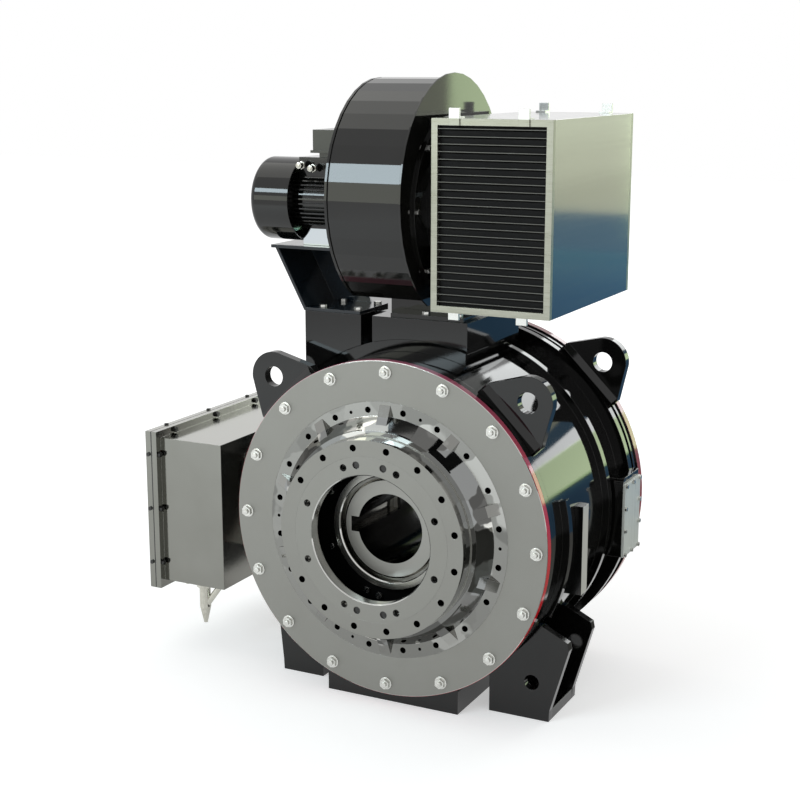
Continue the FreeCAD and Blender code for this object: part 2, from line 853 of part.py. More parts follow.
def foot(inner, outer, mirror, flare):
    # two gusset plates and a base plate, welded, open between the plates
    rear = foot_front + foot_length
    shoulder = floor_z + foot_shoulder
    crown = floor_z + foot_crown
    side = -1 if mirror else 1
    outline = [
        V(side * inner, 0, floor_z),
        V(side * outer, 0, floor_z),
        V(side * (outer + 1), 0, floor_z + 22),
        V(side * (outer + flare), 0, floor_z + 150),
        V(side * (outer + flare - 3), 0, shoulder),
        V(side * (outer - 18), 0, crown),
        V(side * inner, 0, crown),
    ]
    plates = []
    for y0 in (foot_front, rear - foot_plate):
        plate = prism([p + V(0, y0, 0) for p in outline], V(0, foot_plate, 0))
        plates.append(plate)
    low, high = sorted((side * inner, side * outer))
    base = box(low, high, foot_front, rear, floor_z, floor_z + foot_base)
    inner_wall = box(*sorted((side * inner, side * (inner + foot_wall))), foot_front, rear, floor_z, crown)
    body = plates[0].fuse([plates[1], base, inner_wall])
    hole_x = side * (outer - foot_hole_inset)
    cuts = [cylinder(foot_hole_radius, foot_front - 1, rear + 1, hole_x, floor_z + foot_hole_height)]
    middle = (foot_front + rear) / 2
    anchor_x = side * (inner + outer) / 2
    for y in (middle - anchor_spacing / 2, middle + anchor_spacing / 2):
        cuts.append(cylinder_z(anchor_radius, floor_z - 1, floor_z + foot_base + 1, anchor_x, y))
    cuts.append(cylinder(barrel_radius, foot_front - 20, rear + 20))
    return body.cut(cuts).removeSplitter()


def base_box():
    half = base_box_half
    outer = box(-half, half, base_box_front, base_box_rear, floor_z, base_box_top)
    hollow = box(
        -half + base_box_wall, half - base_box_wall,
        base_box_front + base_box_wall, base_box_rear - base_box_wall,
        floor_z + base_box_wall, base_box_top + 100,
    )
    body = outer.cut([hollow, cylinder(barrel_radius, base_box_front - 1, base_box_rear + 1)])
    body = body.cut(cylinder(flange_radius, base_box_front - 1, front_ring_rear))
    body = body.cut(cylinder(barrel_radius + rib_height, middle_rib_y, middle_rib_y + rib_thickness))
    return body.cut(cylinder(rear_ring_radius, rear_rib_y, rear_rib_y + rib_thickness)).removeSplitter()


def side_pad():
    body = box(barrel_radius - 70, pad_outer, pad_y, pad_y + pad_width, pad_bottom, pad_top)
    return body.cut(cylinder(barrel_radius, pad_y - 1, pad_y + pad_width + 1))


def sensor_box():
    outer = box(barrel_radius - 60, sensor_outer, sensor_y0, sensor_y1, sensor_bottom, sensor_top)
    edges = [e for e in outer.Edges if abs(e.CenterOfMass.z - sensor_top) < 1 and e.CenterOfMass.y < sensor_y1
             and abs(e.CenterOfMass.y - sensor_y0) < 1]
    outer = outer.makeFillet(14, edges)
    wall = 8.0
    hollow = box(
        barrel_radius - 100, sensor_outer + 1, sensor_y0 + wall, sensor_y1 - wall,
        sensor_bottom + wall, sensor_top - wall - 8,
    )
    body = outer.cut([hollow, cylinder(barrel_radius, sensor_y0 - 1, sensor_y1 + 1)])
    return body.cut(cylinder(rear_ring_radius, rear_rib_y, rear_rib_y + rib_thickness)).removeSplitter()


def sensor_screw_places():
    rows = []
    for y in (sensor_y0 + 6, (sensor_y0 + sensor_y1) / 2, sensor_y1 - 6):
        rows += [(y, sensor_top - 16), (y, sensor_bottom + 4)]
    for z in (sensor_bottom + 54, sensor_bottom + 100):
        rows += [(sensor_y0 + 4, z), (sensor_y1 - 4, z)]
    return rows


def sensor_cover():
    x0 = sensor_outer
    return box(x0, x0 + sensor_cover_thickness, sensor_y0, sensor_y1, sensor_bottom, sensor_top - 12)


def sensor_cover_screws():
    x0 = sensor_outer + sensor_cover_thickness
    return group([hex_head(8.0, 4.0, V(x0, y, z), V(1, 0, 0)) for y, z in sensor_screw_places()])


def terminal_box():
    outer = box(box_outer, box_inner, box_front, box_rear, box_bottom, box_top)
    flange = box(
        box_outer, box_outer + box_flange_thickness, box_front - box_flange, box_rear + box_flange,
        box_bottom - box_flange, box_top + box_flange,
    )
    neck = box(box_inner, -barrel_radius + 60, neck_y0, neck_y1, neck_z0, neck_z1)
    body = outer.fuse([flange, neck])
    hollow = box(
        box_outer - 1, box_inner - box_wall, box_front + box_wall, box_rear - box_wall,
        box_bottom + box_wall, box_top - box_wall,
    )
    duct = box(box_inner - 10, 0, neck_y0 + 8, neck_y1 - 8, neck_z0 + 8, neck_z1 - 8)
    cuts = [hollow, duct, cylinder(barrel_radius, neck_y0 - 1, neck_y1 + 1)]
    cuts.append(cylinder(barrel_radius + rib_height, middle_rib_y, middle_rib_y + rib_thickness))
    cuts.append(cylinder_z(10.0, box_bottom - 1, box_bottom + box_wall + 1, gland_x, gland_y))
    return body.cut(cuts).removeSplitter()


def lid_plate(x0, x1):
    return box(
        x0, x1, box_front - box_flange, box_rear + box_flange, box_bottom - box_flange, box_top + box_flange
    )


def terminal_box_gasket():
    x1 = box_outer
    plate = lid_plate(x1 - gasket_thickness, x1)
    opening = box(x1 - 5, x1 + 5, box_front, box_rear, box_bottom, box_top)
    return plate.cut(opening)


def terminal_box_lid():
    x1 = box_outer - gasket_thickness
    return lid_plate(x1 - lid_thickness, x1)


def terminal_box_screws():
    # in pairs round the edges: a screw in the lid's edge and a nut on the inner face of the rim
    x_lid = box_outer - gasket_thickness - lid_thickness / 2
    x_rim = box_outer + box_flange_thickness
    half = box_flange / 2
    y0, y1 = box_front - box_flange, box_rear + box_flange
    z0, z1 = box_bottom - box_flange, box_top + box_flange
    screws = []
    for share in (0.145, 0.49, 0.835):
        y = y0 + (y1 - y0) * share
        z = z1 - (z1 - z0) * share
        screws.append(hex_head(8.0, 3.0, V(x_lid, y, z1), V(0, 0, 1)))
        screws.append(hex_head(8.0, 3.0, V(x_lid, y, z0), V(0, 0, -1)))
        screws.append(hex_head(8.0, 3.0, V(x_lid, y0, z), V(0, -1, 0)))
        screws.append(hex_head(8.0, 3.0, V(x_lid, y1, z), V(0, 1, 0)))
        for place in ((y, z1 - half), (y, z0 + half), (y0 + half, z), (y1 - half, z)):
            screws.append(hex_head(10.0, 6.0, V(x_rim, place[0], place[1]), V(1, 0, 0)))
    return group(screws)


def terminal_board():
    # an insulating block on the box's inner wall with three studs and nuts
    x0 = box_inner - box_wall - 24
    middle = (neck_y0 + neck_y1) / 2
    board = box(x0, x0 + 24, middle - 100, middle - 10, box_bottom + box_wall, box_bottom + 34)
    parts = [board]
    for i in range(3):
        y = middle - 85 + 30 * i
        parts.append(hex_head(17.0, 8.0, V(x0 + 12, y, box_bottom + 34), V(0, 0, 1)))
        parts.append(cylinder_z(5.0, box_bottom + 42, box_bottom + 62, x0 + 12, y))
    return group(parts)


def cable_gland():
    seat = box_bottom
    nut = hex_head(2 * gland_radius + 2, 9.0, V(gland_x, gland_y, seat), V(0, 0, -1))
    sleeve = cylinder_z(gland_radius - 2, seat - 52, seat - 9, gland_x, gland_y)
    taper = Part.makeCone(
        gland_radius - 2, 4.0, gland_length - 52, V(gland_x, gland_y, seat - 52), V(0, 0, -1)
    )
    thread = cylinder_z(9.5, seat, seat + box_wall + 6, gland_x, gland_y)
    start = V(gland_x + 40, gland_y, seat)
    end = V(gland_x + 7, gland_y, seat - 44)
    along = end - start
    strut = Part.makeCylinder(6.5, along.Length, start, along)
    strut = strut.cut(box(gland_x, gland_x + 80, gland_y - 20, gland_y + 20, seat, seat + 20))
    collar = cylinder_z(8.5, seat - 6, seat, gland_x + 38, gland_y)
    return nut.fuse([sleeve, taper, thread, strut, collar])


def blanking_plugs():
    plugs = []
    for x, y in ((gland_x - 46, gland_y + 4), (gland_x - 25, gland_y + 14)):
        plug = Part.makeCylinder(9.0, 7.0, V(x, y, box_bottom), V(0, 0, -1))
        crown = Part.makeCone(9.0, 4.0, 4.0, V(x, y, box_bottom - 7), V(0, 0, -1))
        plugs.append(plug.fuse(crown))
    return group(plugs)


def air_plenum():
    outer = box(plenum_left, plenum_right, plenum_front, plenum_rear, plenum_skirt, plenum_top)
    groove = box(
        groove_left, groove_left + groove_width, plenum_front - 1, plenum_front + groove_depth, plenum_skirt - 10, plenum_top + 1
    )
    x0 = groove_left + groove_width + plenum_wall
    hollow = box(
        x0, plenum_right - plenum_wall, plenum_front + plenum_wall, plenum_rear - plenum_wall,
        plenum_skirt - 10, plenum_top - plenum_wall,
    )
    left_hollow = box(
        plenum_left + plenum_wall, groove_left - plenum_wall, plenum_front + plenum_wall,
        plenum_rear - plenum_wall, plenum_skirt - 10, plenum_top - plenum_wall,
    )
    throat = box(
        throat_left + sheet, throat_right - sheet, throat_front + sheet, throat_rear - sheet,
        plenum_top - 20, plenum_top + 1,
    )
    cuts = [groove, hollow, left_hollow, throat, cylinder(saddle_outer, plenum_front - 1, plenum_rear + 1)]
    return outer.cut(cuts).removeSplitter()


def plenum_saddle():
    # a curved frame between the plenum and the barrel, open in the middle for the air
    margin = 5.0
    blank = box(
        plenum_left + margin, plenum_right - margin, plenum_front + margin, plenum_rear - margin, plenum_skirt, plenum_top
    )
    shell = ring(barrel_radius, saddle_outer, plenum_front, plenum_rear)
    band = blank.common(shell)
    duct = box(plenum_duct[0], plenum_duct[1], plenum_duct[2], plenum_duct[3], plenum_skirt, plenum_top)
    lightening = box(
        plenum_left + 40, plenum_right - 40, plenum_duct[3] + 20, plenum_rear - 40, plenum_skirt, plenum_top
    )
    band = band.cut([duct, lightening])
    return band.cut(cylinder(barrel_radius + rib_height, middle_rib_y, middle_rib_y + rib_thickness))


def scroll_outline(offset):
    # Y-Z outline of the volute: facets round the front and top, a straight rear wall, a flat bottom
    radius = scroll_radius - offset
    bottom = scroll_bottom + offset
    step = 360.0 / scroll_facets
    corners = []
    for i in range(scroll_facets // 4 * 3):
        turn = math.radians(step * i)
        y = scroll_y + radius * math.cos(turn)
        z = scroll_z + radius * math.sin(turn)
        if z < bottom:
            share = (corners[-1][1] - bottom) / (corners[-1][1] - z)
            corners.append((corners[-1][0] + (y - corners[-1][0]) * share, bottom))
            break
        corners.append((y, z))
    return corners + [(scroll_y + radius, bottom)]


def scroll_prism(offset, x0, x1):
    return prism([V(x0, y, z) for y, z in scroll_outline(offset)], V(x1 - x0, 0, 0))


def scroll_casing():
    # folded wrap with a lip past its motor-side plate, throat and mounting flange, welded
    plate = scroll_left + scroll_lip
    outer = scroll_prism(0, plate, scroll_right - sheet)
    inner = scroll_prism(sheet, plate + sheet, scroll_right)
    seam = scroll_prism(3.0, plate - sheet, plate)
    lip = scroll_prism(0, scroll_left, plate - sheet).cut(scroll_prism(26.0, scroll_left - 1, plate - sheet))
    floor = plenum_top + mount_flange
    throat = box(throat_left, throat_right, throat_front, throat_rear, plenum_top, scroll_bottom + 1)
    flange = box(
        mount_flange_left, mount_flange_right, plenum_front + 4, throat_rear + 8, plenum_top, floor
    )
    body = outer.fuse([seam, lip, throat, flange])
    passage = box(
        throat_left + sheet, throat_right - sheet, throat_front + sheet, throat_rear - sheet,
        plenum_top - 1, scroll_bottom + sheet + 1,
    )
    shaft_hole = cylinder_x(30.0, scroll_left - 10, plate + 10)
    body = body.cut([inner, passage, shaft_hole] + mount_holes(plenum_top - 1, floor + 1))
    return body.removeSplitter()


def mount_bolt_places():
    front = plenum_front + 16
    right = mount_flange_right - 15
    return [(throat_left + 98, front), (right, front), (right, plenum_front + 110), (right, plenum_front + 220)]


def mount_holes(z0, z1):
    return [cylinder_z(4.6, z0, z1, x, y) for x, y in mount_bolt_places()]


def scroll_inlet_plate():
    plate = scroll_prism(-side_plate_overhang, scroll_right - sheet, scroll_right)
    return plate.cut(cylinder_x(inlet_radius, scroll_right - 10, scroll_right + 10))


def inlet_ring():
    # flanged ring with a bell mouth, between the scroll and the filter box
    return revolve_x([
        (inlet_ring_radius, scroll_right),
        (inlet_ring_radius, scroll_right + 5),
        (inlet_radius + 8, scroll_right + 5),
        (inlet_radius + 8, filter_left),
        (inlet_radius + 4, filter_left),
        (inlet_radius - 4, scroll_right + 4),
        (inlet_radius - 4, scroll_right),
    ])


def inlet_ring_screws():
    screws = []
    for angle in angles(inlet_screw_count, 0.0):
        turn = math.radians(angle)
        seat = V(
            scroll_right + 5, blower_y + inlet_screw_circle * math.cos(turn),
            blower_z + inlet_screw_circle * math.sin(turn),
        )
        screws.append(hex_head(10.0, 5.0, seat, V(1, 0, 0)))
    return group(screws)


def blower_mount_bolts():
    seat = plenum_top + mount_flange
    bolts = [bolt(14.0, 6.0, 4.0, mount_flange, V(x, y, seat), V(0, 0, 1)) for x, y in mount_bolt_places()]
    seat = plenum_top + pedestal_plate
    for x, y in pedestal_bolt_places():
        bolts.append(bolt(14.0, 6.0, 4.0, pedestal_plate, V(x, y, seat), V(0, 0, 1)))
    return group(bolts)


def pedestal_bolt_places():
    front = pedestal_front + 15
    rear = pedestal_front + pedestal_depth - 22
    left = pedestal_bottom_left + 34
    right = pedestal_bottom_right - 12
    return [(left, front), (right, front), (left, rear), (right, rear)]


def impeller():
    # back disc with a hub, forward-curved blades and a shroud ring, welded
    hub = cylinder_x(24.0, impeller_left - 8, impeller_left + 22)
    disc = cylinder_x(impeller_radius, impeller_left, impeller_left + 3)
    shroud = cylinder_x(impeller_radius, impeller_right - 3, impeller_right)
    shroud = shroud.cut(cylinder_x(impeller_inner - 6, impeller_right - 5, impeller_right + 5))
    blades = []
    depth = impeller_radius - impeller_inner - 1
    for angle in angles(blade_count):
        blade = box(impeller_left + 1, impeller_right - 1, -1.0, 1.0, 0, depth)
        blade.rotate(V(0, 0, 0), V(1, 0, 0), 28)
        blade.translate(V(0, blower_y, blower_z + impeller_inner))
        blade.rotate(V(0, blower_y, blower_z), V(1, 0, 0), angle)
        blades.append(blade)
    body = disc.fuse([hub, shroud] + blades)
    return body.cut(cylinder_x(blower_shaft_radius + 0.05, impeller_left - 20, impeller_left + 40))


def blower_shaft():
    # shaft with the squirrel-cage core of the blower motor
    core_left = motor_left + 36
    return revolve_x([
        (0, cowl_left + 18),
        (10, cowl_left + 18),
        (10, motor_left - 2),
        (blower_shaft_radius, motor_left - 2),
        (blower_shaft_radius, core_left),
        (motor_core_radius, core_left),
        (motor_core_radius, core_left + 84),
        (blower_shaft_radius, core_left + 84),
        (blower_shaft_radius, impeller_left + 22),
        (0, impeller_left + 22),
    ])


def cooling_fan():
    x0 = cowl_left + 22
    hub = cylinder_x(18.0, x0, x0 + 24)
    disc = cylinder_x(motor_fin_radius - 2, x0 + 20, x0 + 23)
    blades = []
    for angle in angles(7):
        blade = box(x0, x0 + 21, -1.2, 1.2, 15, motor_fin_radius + 6)
        blade.translate(V(0, blower_y, blower_z))
        blade.rotate(V(0, blower_y, blower_z), V(1, 0, 0), angle)
        blades.append(blade)
    return disc.fuse([hub] + blades).cut(cylinder_x(10.05, x0 - 1, x0 + 30))


def blower_motor_frame():
    # finned barrel with its end plates, mounting flange, foot and top saddle
    right = scroll_left + scroll_lip - sheet
    fin_right = right - 18
    core_left = motor_left + 36
    barrel = revolve_x([
        (0, motor_left),
        (motor_body_radius, motor_left),
        (motor_body_radius, fin_right),
        (motor_flange_radius, fin_right),
        (motor_flange_radius, right),
        (0, right),
    ])
    fins = []
    for angle in angles(motor_fin_count, 4.5):
        if abs((angle % 180) - 90) < 32:
            continue
        fin = box(motor_left + 8, fin_right, -1.4, 1.4, motor_body_radius - 2, motor_fin_radius)
        fin.translate(V(0, blower_y, blower_z))
        fin.rotate(V(0, blower_y, blower_z), V(1, 0, 0), angle - 90)
        fins.append(fin)
    foot_rear = 2 * blower_y - motor_foot_front
    foot_block = box(cowl_right + 2, fin_right - 8, motor_foot_front, foot_rear, motor_foot_z, blower_z - 30)
    saddle = box(cowl_right + 2, fin_right, blower_y - 36, blower_y + 36, blower_z + 30, blower_z + 84)
    end_ring = cylinder_x(motor_fin_radius + 8, motor_left, motor_left + 8)
    body = barrel.fuse(fins + [foot_block, saddle, end_ring])
    hollow = revolve_x([
        (0, motor_left - 1),
        (blower_shaft_radius + 0.05, motor_left - 1),
        (blower_shaft_radius + 0.05, core_left - 3),
        (motor_core_radius + 1, core_left - 3),
        (motor_core_radius + 1, core_left + 87),
        (blower_shaft_radius + 0.05, core_left + 87),
        (blower_shaft_radius + 0.05, right + 1),
        (0, right + 1),
    ])
    return body.cut(hollow).removeSplitter()


def blower_motor_cowl():
    # drawn sheet cowl over the fan, with a rounded rim and an air grille in its end
    wall = 2.0
    rim_round = 14.0
    outer = cylinder_x(cowl_radius, cowl_left, cowl_right)
    rim = [e for e in outer.Edges if e.BoundBox.XMax < cowl_left + 1 and e.Length > 6 * (cowl_radius - 1)]
    outer = outer.makeFillet(rim_round, rim)
    inner = cylinder_x(cowl_radius - wall, cowl_left + rim_round, cowl_right + 1)
    dish = cylinder_x(cowl_radius - rim_round, cowl_left + wall, cowl_left + rim_round + 1)
    cuts = [inner, dish]
    for angle in angles(16, 11.25):
        slot = box(cowl_left - 1, cowl_left + wall + 1, -3, 3, 22, cowl_radius - rim_round - 6)
        slot.translate(V(0, blower_y, blower_z))
        slot.rotate(V(0, blower_y, blower_z), V(1, 0, 0), angle)
        cuts.append(slot)
    spokes = []
    for angle in angles(3, 30.0):
        lug_x = motor_left + 1
        spoke = box(lug_x, lug_x + 6, -6, 6, motor_fin_radius + 7, cowl_radius - 1)
        spoke.translate(V(0, blower_y, blower_z))
        spoke.rotate(V(0, blower_y, blower_z), V(1, 0, 0), angle)
        spokes.append(spoke)
    body = outer.cut(cuts).fuse(spokes)
    return body.cut(cylinder_x(motor_fin_radius + 8, motor_left - 1, cowl_right + 1)).removeSplitter()


def blower_terminal_box():
    # a hood with a rim along its foot, on a narrower neck
    x1 = scroll_left - 8
    x0 = x1 - motor_box_length
    z0 = blower_z + 84
    hood = box(x0, x1, blower_y - 45, blower_y + 45, z0 + 9, z0 + 53)
    neck = box(x0 + 8, x1 - 8, blower_y - 34, blower_y + 34, z0, z0 + 9)
    rim = box(x0 - 4, x1 + 2, blower_y - 48, blower_y + 48, z0 + 9, z0 + 14)
    return hood.fuse([neck, rim]).removeSplitter()


def motor_pedestal():
    # bent bracket: top plate, slanted plate, base plate, closed by a web at the rear
    top = motor_foot_z
    right = scroll_left - 8
    rear = pedestal_front + pedestal_depth
    under = top - pedestal_plate
    seat = plenum_top + pedestal_plate
    thick = pedestal_plate * 1.15
    slant = prism([
        V(pedestal_top_left, pedestal_front, under),
        V(pedestal_bottom_left, pedestal_front, plenum_top),
        V(pedestal_bottom_left + thick, pedestal_front, plenum_top),
        V(pedestal_top_left + thick, pedestal_front, under),
    ], V(0, pedestal_depth, 0))
    web = prism([
        V(pedestal_top_left, rear - pedestal_plate, under),
        V(pedestal_bottom_left, rear - pedestal_plate, plenum_top),
        V(pedestal_web_right, rear - pedestal_plate, plenum_top),
        V(pedestal_web_right - 40, rear - pedestal_plate, under),
    ], V(0, pedestal_plate, 0))
    plate = box(pedestal_top_left - 2, right, pedestal_front - 12, rear, under, top)
    base = box(pedestal_bottom_left, pedestal_bottom_right, pedestal_front, rear, plenum_top, seat)
    body = plate.fuse([slant, web, base])
    return body.cut([
        cylinder_z(4.6, plenum_top - 1, seat + 1, x, y) for x, y in pedestal_bolt_places()
    ]).removeSplitter()


def filter_box():
    outer = box(filter_left, filter_right, filter_front + frame_thickness, filter_rear - frame_thickness,
                filter_bottom, filter_top)
    hollow = box(filter_left + filter_wall, filter_right - filter_wall, filter_front, filter_rear,
                 filter_bottom + filter_wall, filter_top - filter_wall)
    inlet = cylinder_x(inlet_radius + 4, filter_left - 1, filter_left + 10)
    return outer.cut([hollow, inlet])


def grille(y0, direction):
    # a frame with slats that fall inwards, and clips that hook over the box at top and bottom
    y1 = y0 + direction * frame_thickness
    low, high = min(y0, y1), max(y0, y1)
    frame = box(filter_left, filter_right, low, high, filter_bottom, filter_top)
    opening = box(filter_left + frame_width, filter_right - frame_width, low - 1, high + 1,
                  filter_bottom + frame_width, filter_top - frame_width)
    body = frame.cut(opening)
    height = filter_top - filter_bottom - 2 * frame_width
    pitch = height / slat_count
    slats = []
    for i in range(slat_count):
        z = filter_bottom + frame_width + pitch * (i + 0.5)
        inside = y0 + direction * (frame_thickness - 1)
        points = [
            V(filter_left + frame_width - 1, y0 + direction * 1.0, z),
            V(filter_left + frame_width - 1, y0 + direction * 1.0, z + slat_thickness),
            V(filter_left + frame_width - 1, inside, z + slat_thickness - slat_drop),
            V(filter_left + frame_width - 1, inside, z - slat_drop),
        ]
        slats.append(prism(points, V(filter_right - filter_left - 2 * frame_width + 2, 0, 0)))
    clips = []
    for x in (filter_left + tab_inset_left, filter_right - tab_inset_right):
        clip = box(x - tab_width / 2, x + tab_width / 2, min(y0 - direction * 3, y0 + direction * 2),
                   max(y0 - direction * 3, y0 + direction * 2), filter_top - 12, filter_top + 18)
        hook = box(x - tab_width / 2, x + tab_width / 2, min(y0, y0 + direction * 20),
                   max(y0, y0 + direction * 20), filter_top, filter_top + 3)
        foot_tab = box(x - tab_width / 2, x + tab_width / 2, min(y0, y0 + direction * 6),
                       max(y0, y0 + direction * 6), filter_bottom - 12, filter_bottom)
        clips += [clip, hook, foot_tab]
    return body.fuse(slats + clips)


def front_grille():
    return grille(filter_front, 1)


def rear_grille():
    return grille(filter_rear, -1)


def filter_mats():
    mats = []
    gap = 0.3
    for y0 in (filter_front + frame_thickness + gap, filter_rear - frame_thickness - gap - mat_thickness):
        mats.append(box(
            filter_left + filter_wall + gap, filter_right - filter_wall - gap, y0, y0 + mat_thickness,
            filter_bottom + filter_wall + gap, filter_top - filter_wall - gap,
        ))
    return group(mats)


save("housing", housing())
save("drive_end_flange", drive_end_flange())
save("flange_bolts", flange_bolts())
save("drive_end_shield", drive_end_shield())
save("bearing_cover", bearing_cover())
save("bearing_cover_screws", bearing_cover_screws())
save("bearing_retainer", bearing_retainer())
save("retainer_screws", retainer_screws())
for end, start in (("front", front_bearing_y), ("rear", rear_bearing_y)):
    save(end + "_bearing_outer_race", outer_race(start))
    save(end + "_bearing_inner_race", inner_race(start))
    save(end + "_bearing_rollers", rolling_set(start))
save("hollow_shaft", hollow_shaft())
save("labyrinth_ring", labyrinth_ring())
save("rotor_core", rotor_core())
save("rotor_magnets", rotor_magnets())
save("stator_core", stator_core())
save("stator_windings", stator_windings())
save("rear_end_shield", rear_end_shield())
save("rear_flange_bolts", rear_flange_bolts())
save("rear_bearing_cover", rear_bearing_cover())
save("rear_cover_screws", rear_cover_screws())
for side, sign in (("right", 1), ("left", -1)):
    save("front_" + side + "_lug", lug(sign * lug_angle, front_lug_y, front_lug_reach, barrel_radius))
    save("rear_" + side + "_lug", lug(sign * lug_angle, rear_lug_y, rear_lug_reach, rear_ring_radius))
save("right_foot", foot(right_foot_inner, right_foot_outer, False, right_foot_flare))
save("left_foot", foot(left_foot_inner, left_foot_outer, True, left_foot_flare))
save("base_box", base_box())
save("side_pad", side_pad())
save("sensor_box", sensor_box())
save("sensor_cover", sensor_cover())
save("sensor_cover_screws", sensor_cover_screws())
save("terminal_box", terminal_box())
save("terminal_box_gasket", terminal_box_gasket())
save("terminal_box_lid", terminal_box_lid())
save("terminal_box_screws", terminal_box_screws())
save("terminal_board", terminal_board())
save("cable_gland", cable_gland())
save("blanking_plugs", blanking_plugs())
save("air_plenum", air_plenum())
save("plenum_saddle", plenum_saddle())
save("scroll_casing", scroll_casing())
save("scroll_inlet_plate", scroll_inlet_plate())
save("inlet_ring", inlet_ring())
save("inlet_ring_screws", inlet_ring_screws())
save("blower_mount_bolts", blower_mount_bolts())
save("impeller", impeller())
save("blower_shaft", blower_shaft())
save("cooling_fan", cooling_fan())
save("blower_motor_frame", blower_motor_frame())
save("blower_motor_cowl", blower_motor_cowl())
save("blower_terminal_box", blower_terminal_box())
save("motor_pedestal", motor_pedestal())
save("filter_box", filter_box())
save("front_grille", front_grille())
save("rear_grille", rear_grille())
save("filter_mats", filter_mats())
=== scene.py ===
import math

import bmesh
import bpy
from mathutils import Matrix, Vector


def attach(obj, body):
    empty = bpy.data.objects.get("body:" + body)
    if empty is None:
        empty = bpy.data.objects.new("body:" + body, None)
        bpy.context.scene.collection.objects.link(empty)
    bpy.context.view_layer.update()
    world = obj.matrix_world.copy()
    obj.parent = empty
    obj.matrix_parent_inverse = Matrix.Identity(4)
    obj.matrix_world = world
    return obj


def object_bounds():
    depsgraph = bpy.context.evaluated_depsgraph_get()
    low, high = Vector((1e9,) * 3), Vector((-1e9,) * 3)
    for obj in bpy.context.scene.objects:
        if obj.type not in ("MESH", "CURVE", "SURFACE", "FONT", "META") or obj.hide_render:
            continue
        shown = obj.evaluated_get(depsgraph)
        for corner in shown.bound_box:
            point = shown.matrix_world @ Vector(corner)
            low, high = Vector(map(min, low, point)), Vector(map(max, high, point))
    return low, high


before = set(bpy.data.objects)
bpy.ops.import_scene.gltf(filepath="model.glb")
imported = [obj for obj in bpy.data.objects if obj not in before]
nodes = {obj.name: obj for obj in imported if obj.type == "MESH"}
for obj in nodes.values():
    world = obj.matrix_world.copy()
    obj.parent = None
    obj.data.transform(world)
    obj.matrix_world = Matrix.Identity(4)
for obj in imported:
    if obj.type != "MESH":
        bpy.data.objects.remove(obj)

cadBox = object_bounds()
print("frame loaded:", len(nodes), "nodes")


# small helpers

def newGroup(name, inputs, outputs):
    # a shader node group with its input and output sockets
    group = bpy.data.node_groups.new(name, "ShaderNodeTree")
    for kind, label, value in inputs:
        socket = group.interface.new_socket(label, in_out="INPUT", socket_type=kind)
        if value is not None:
            socket.default_value = value
    for kind, label in outputs:
        group.interface.new_socket(label, in_out="OUTPUT", socket_type=kind)
    return group, group.nodes.new("NodeGroupInput"), group.nodes.new("NodeGroupOutput")


def addNode(tree, kind, **settings):
    node = tree.nodes.new(kind)
    for key, value in settings.items():
        setattr(node, key, value)
    return node


def setSocket(tree, socket, value):
    # a number or a tone is written into the socket, anything else is linked to it
    if isinstance(value, (int, float)):
        socket.default_value = value
    elif isinstance(value, (tuple, list)):
        socket.default_value = (*value[:3], 1.0)
    else:
        tree.links.new(value, socket)


def noiseNode(tree, source, grain):
    # grain: scale, detail and roughness
    node = addNode(tree, "ShaderNodeTexNoise")
    for label, value in zip(("Scale", "Detail", "Roughness"), grain):
        node.inputs[label].default_value = value
    tree.links.new(source, node.inputs["Vector"])
    return node.outputs


def mathNode(tree, operation, first, second=None, clamp=False):
    node = addNode(tree, "ShaderNodeMath", operation=operation, use_clamp=clamp)
    for slot, value in enumerate((first, second)):
        if value is not None:
            setSocket(tree, node.inputs[slot], value)
    return node.outputs[0]


def mixColour(tree, factor, first, second, blend="MIX"):
    node = addNode(tree, "ShaderNodeMix", data_type="RGBA", blend_type=blend)
    for slot, value in ((0, factor), (6, first), (7, second)):
        setSocket(tree, node.inputs[slot], value)
    return node.outputs[2]


def mixFloat(tree, factor, first, second):
    node = addNode(tree, "ShaderNodeMix", data_type="FLOAT")
    for slot, value in ((0, factor), (2, first), (3, second)):
        setSocket(tree, node.inputs[slot], value)
    return node.outputs[0]


def rangeNode(tree, source, low, high, outLow, outHigh):
    node = addNode(tree, "ShaderNodeMapRange")
    tree.links.new(source, node.inputs["Value"])
    for label, value in (("From Min", low), ("From Max", high), ("To Min", outLow), ("To Max", outHigh)):
        setSocket(tree, node.inputs[label], value)
    return node.outputs[0]


def splitVector(tree, source):
    node = addNode(tree, "ShaderNodeSeparateXYZ")
    tree.links.new(source, node.inputs[0])
    return node.outputs


def between(tree, value, low, high):
    # 1 between two values, 0 elsewhere
    above = mathNode(tree, "GREATER_THAN", value, low)
    return mathNode(tree, "MULTIPLY", above, mathNode(tree, "LESS_THAN", value, high))


def outside(tree, mask, amount):
    # the amount where the mask is 0, and 0 where it is 1
    return mathNode(tree, "MULTIPLY", mathNode(tree, "SUBTRACT", 1.0, mask), amount)


def toneRamp(tree, source, tones, interpolation="LINEAR"):
    ramp = addNode(tree, "ShaderNodeValToRGB")
    ramp.color_ramp.interpolation = interpolation
    while len(ramp.color_ramp.elements) < len(tones):
        ramp.color_ramp.elements.new(0.5)
    for element, (position, tone) in zip(ramp.color_ramp.elements, tones):
        element.position = position
        element.color = (*tone, 1.0)
    tree.links.new(source, ramp.inputs[0])
    return ramp.outputs[0]


# shared effects

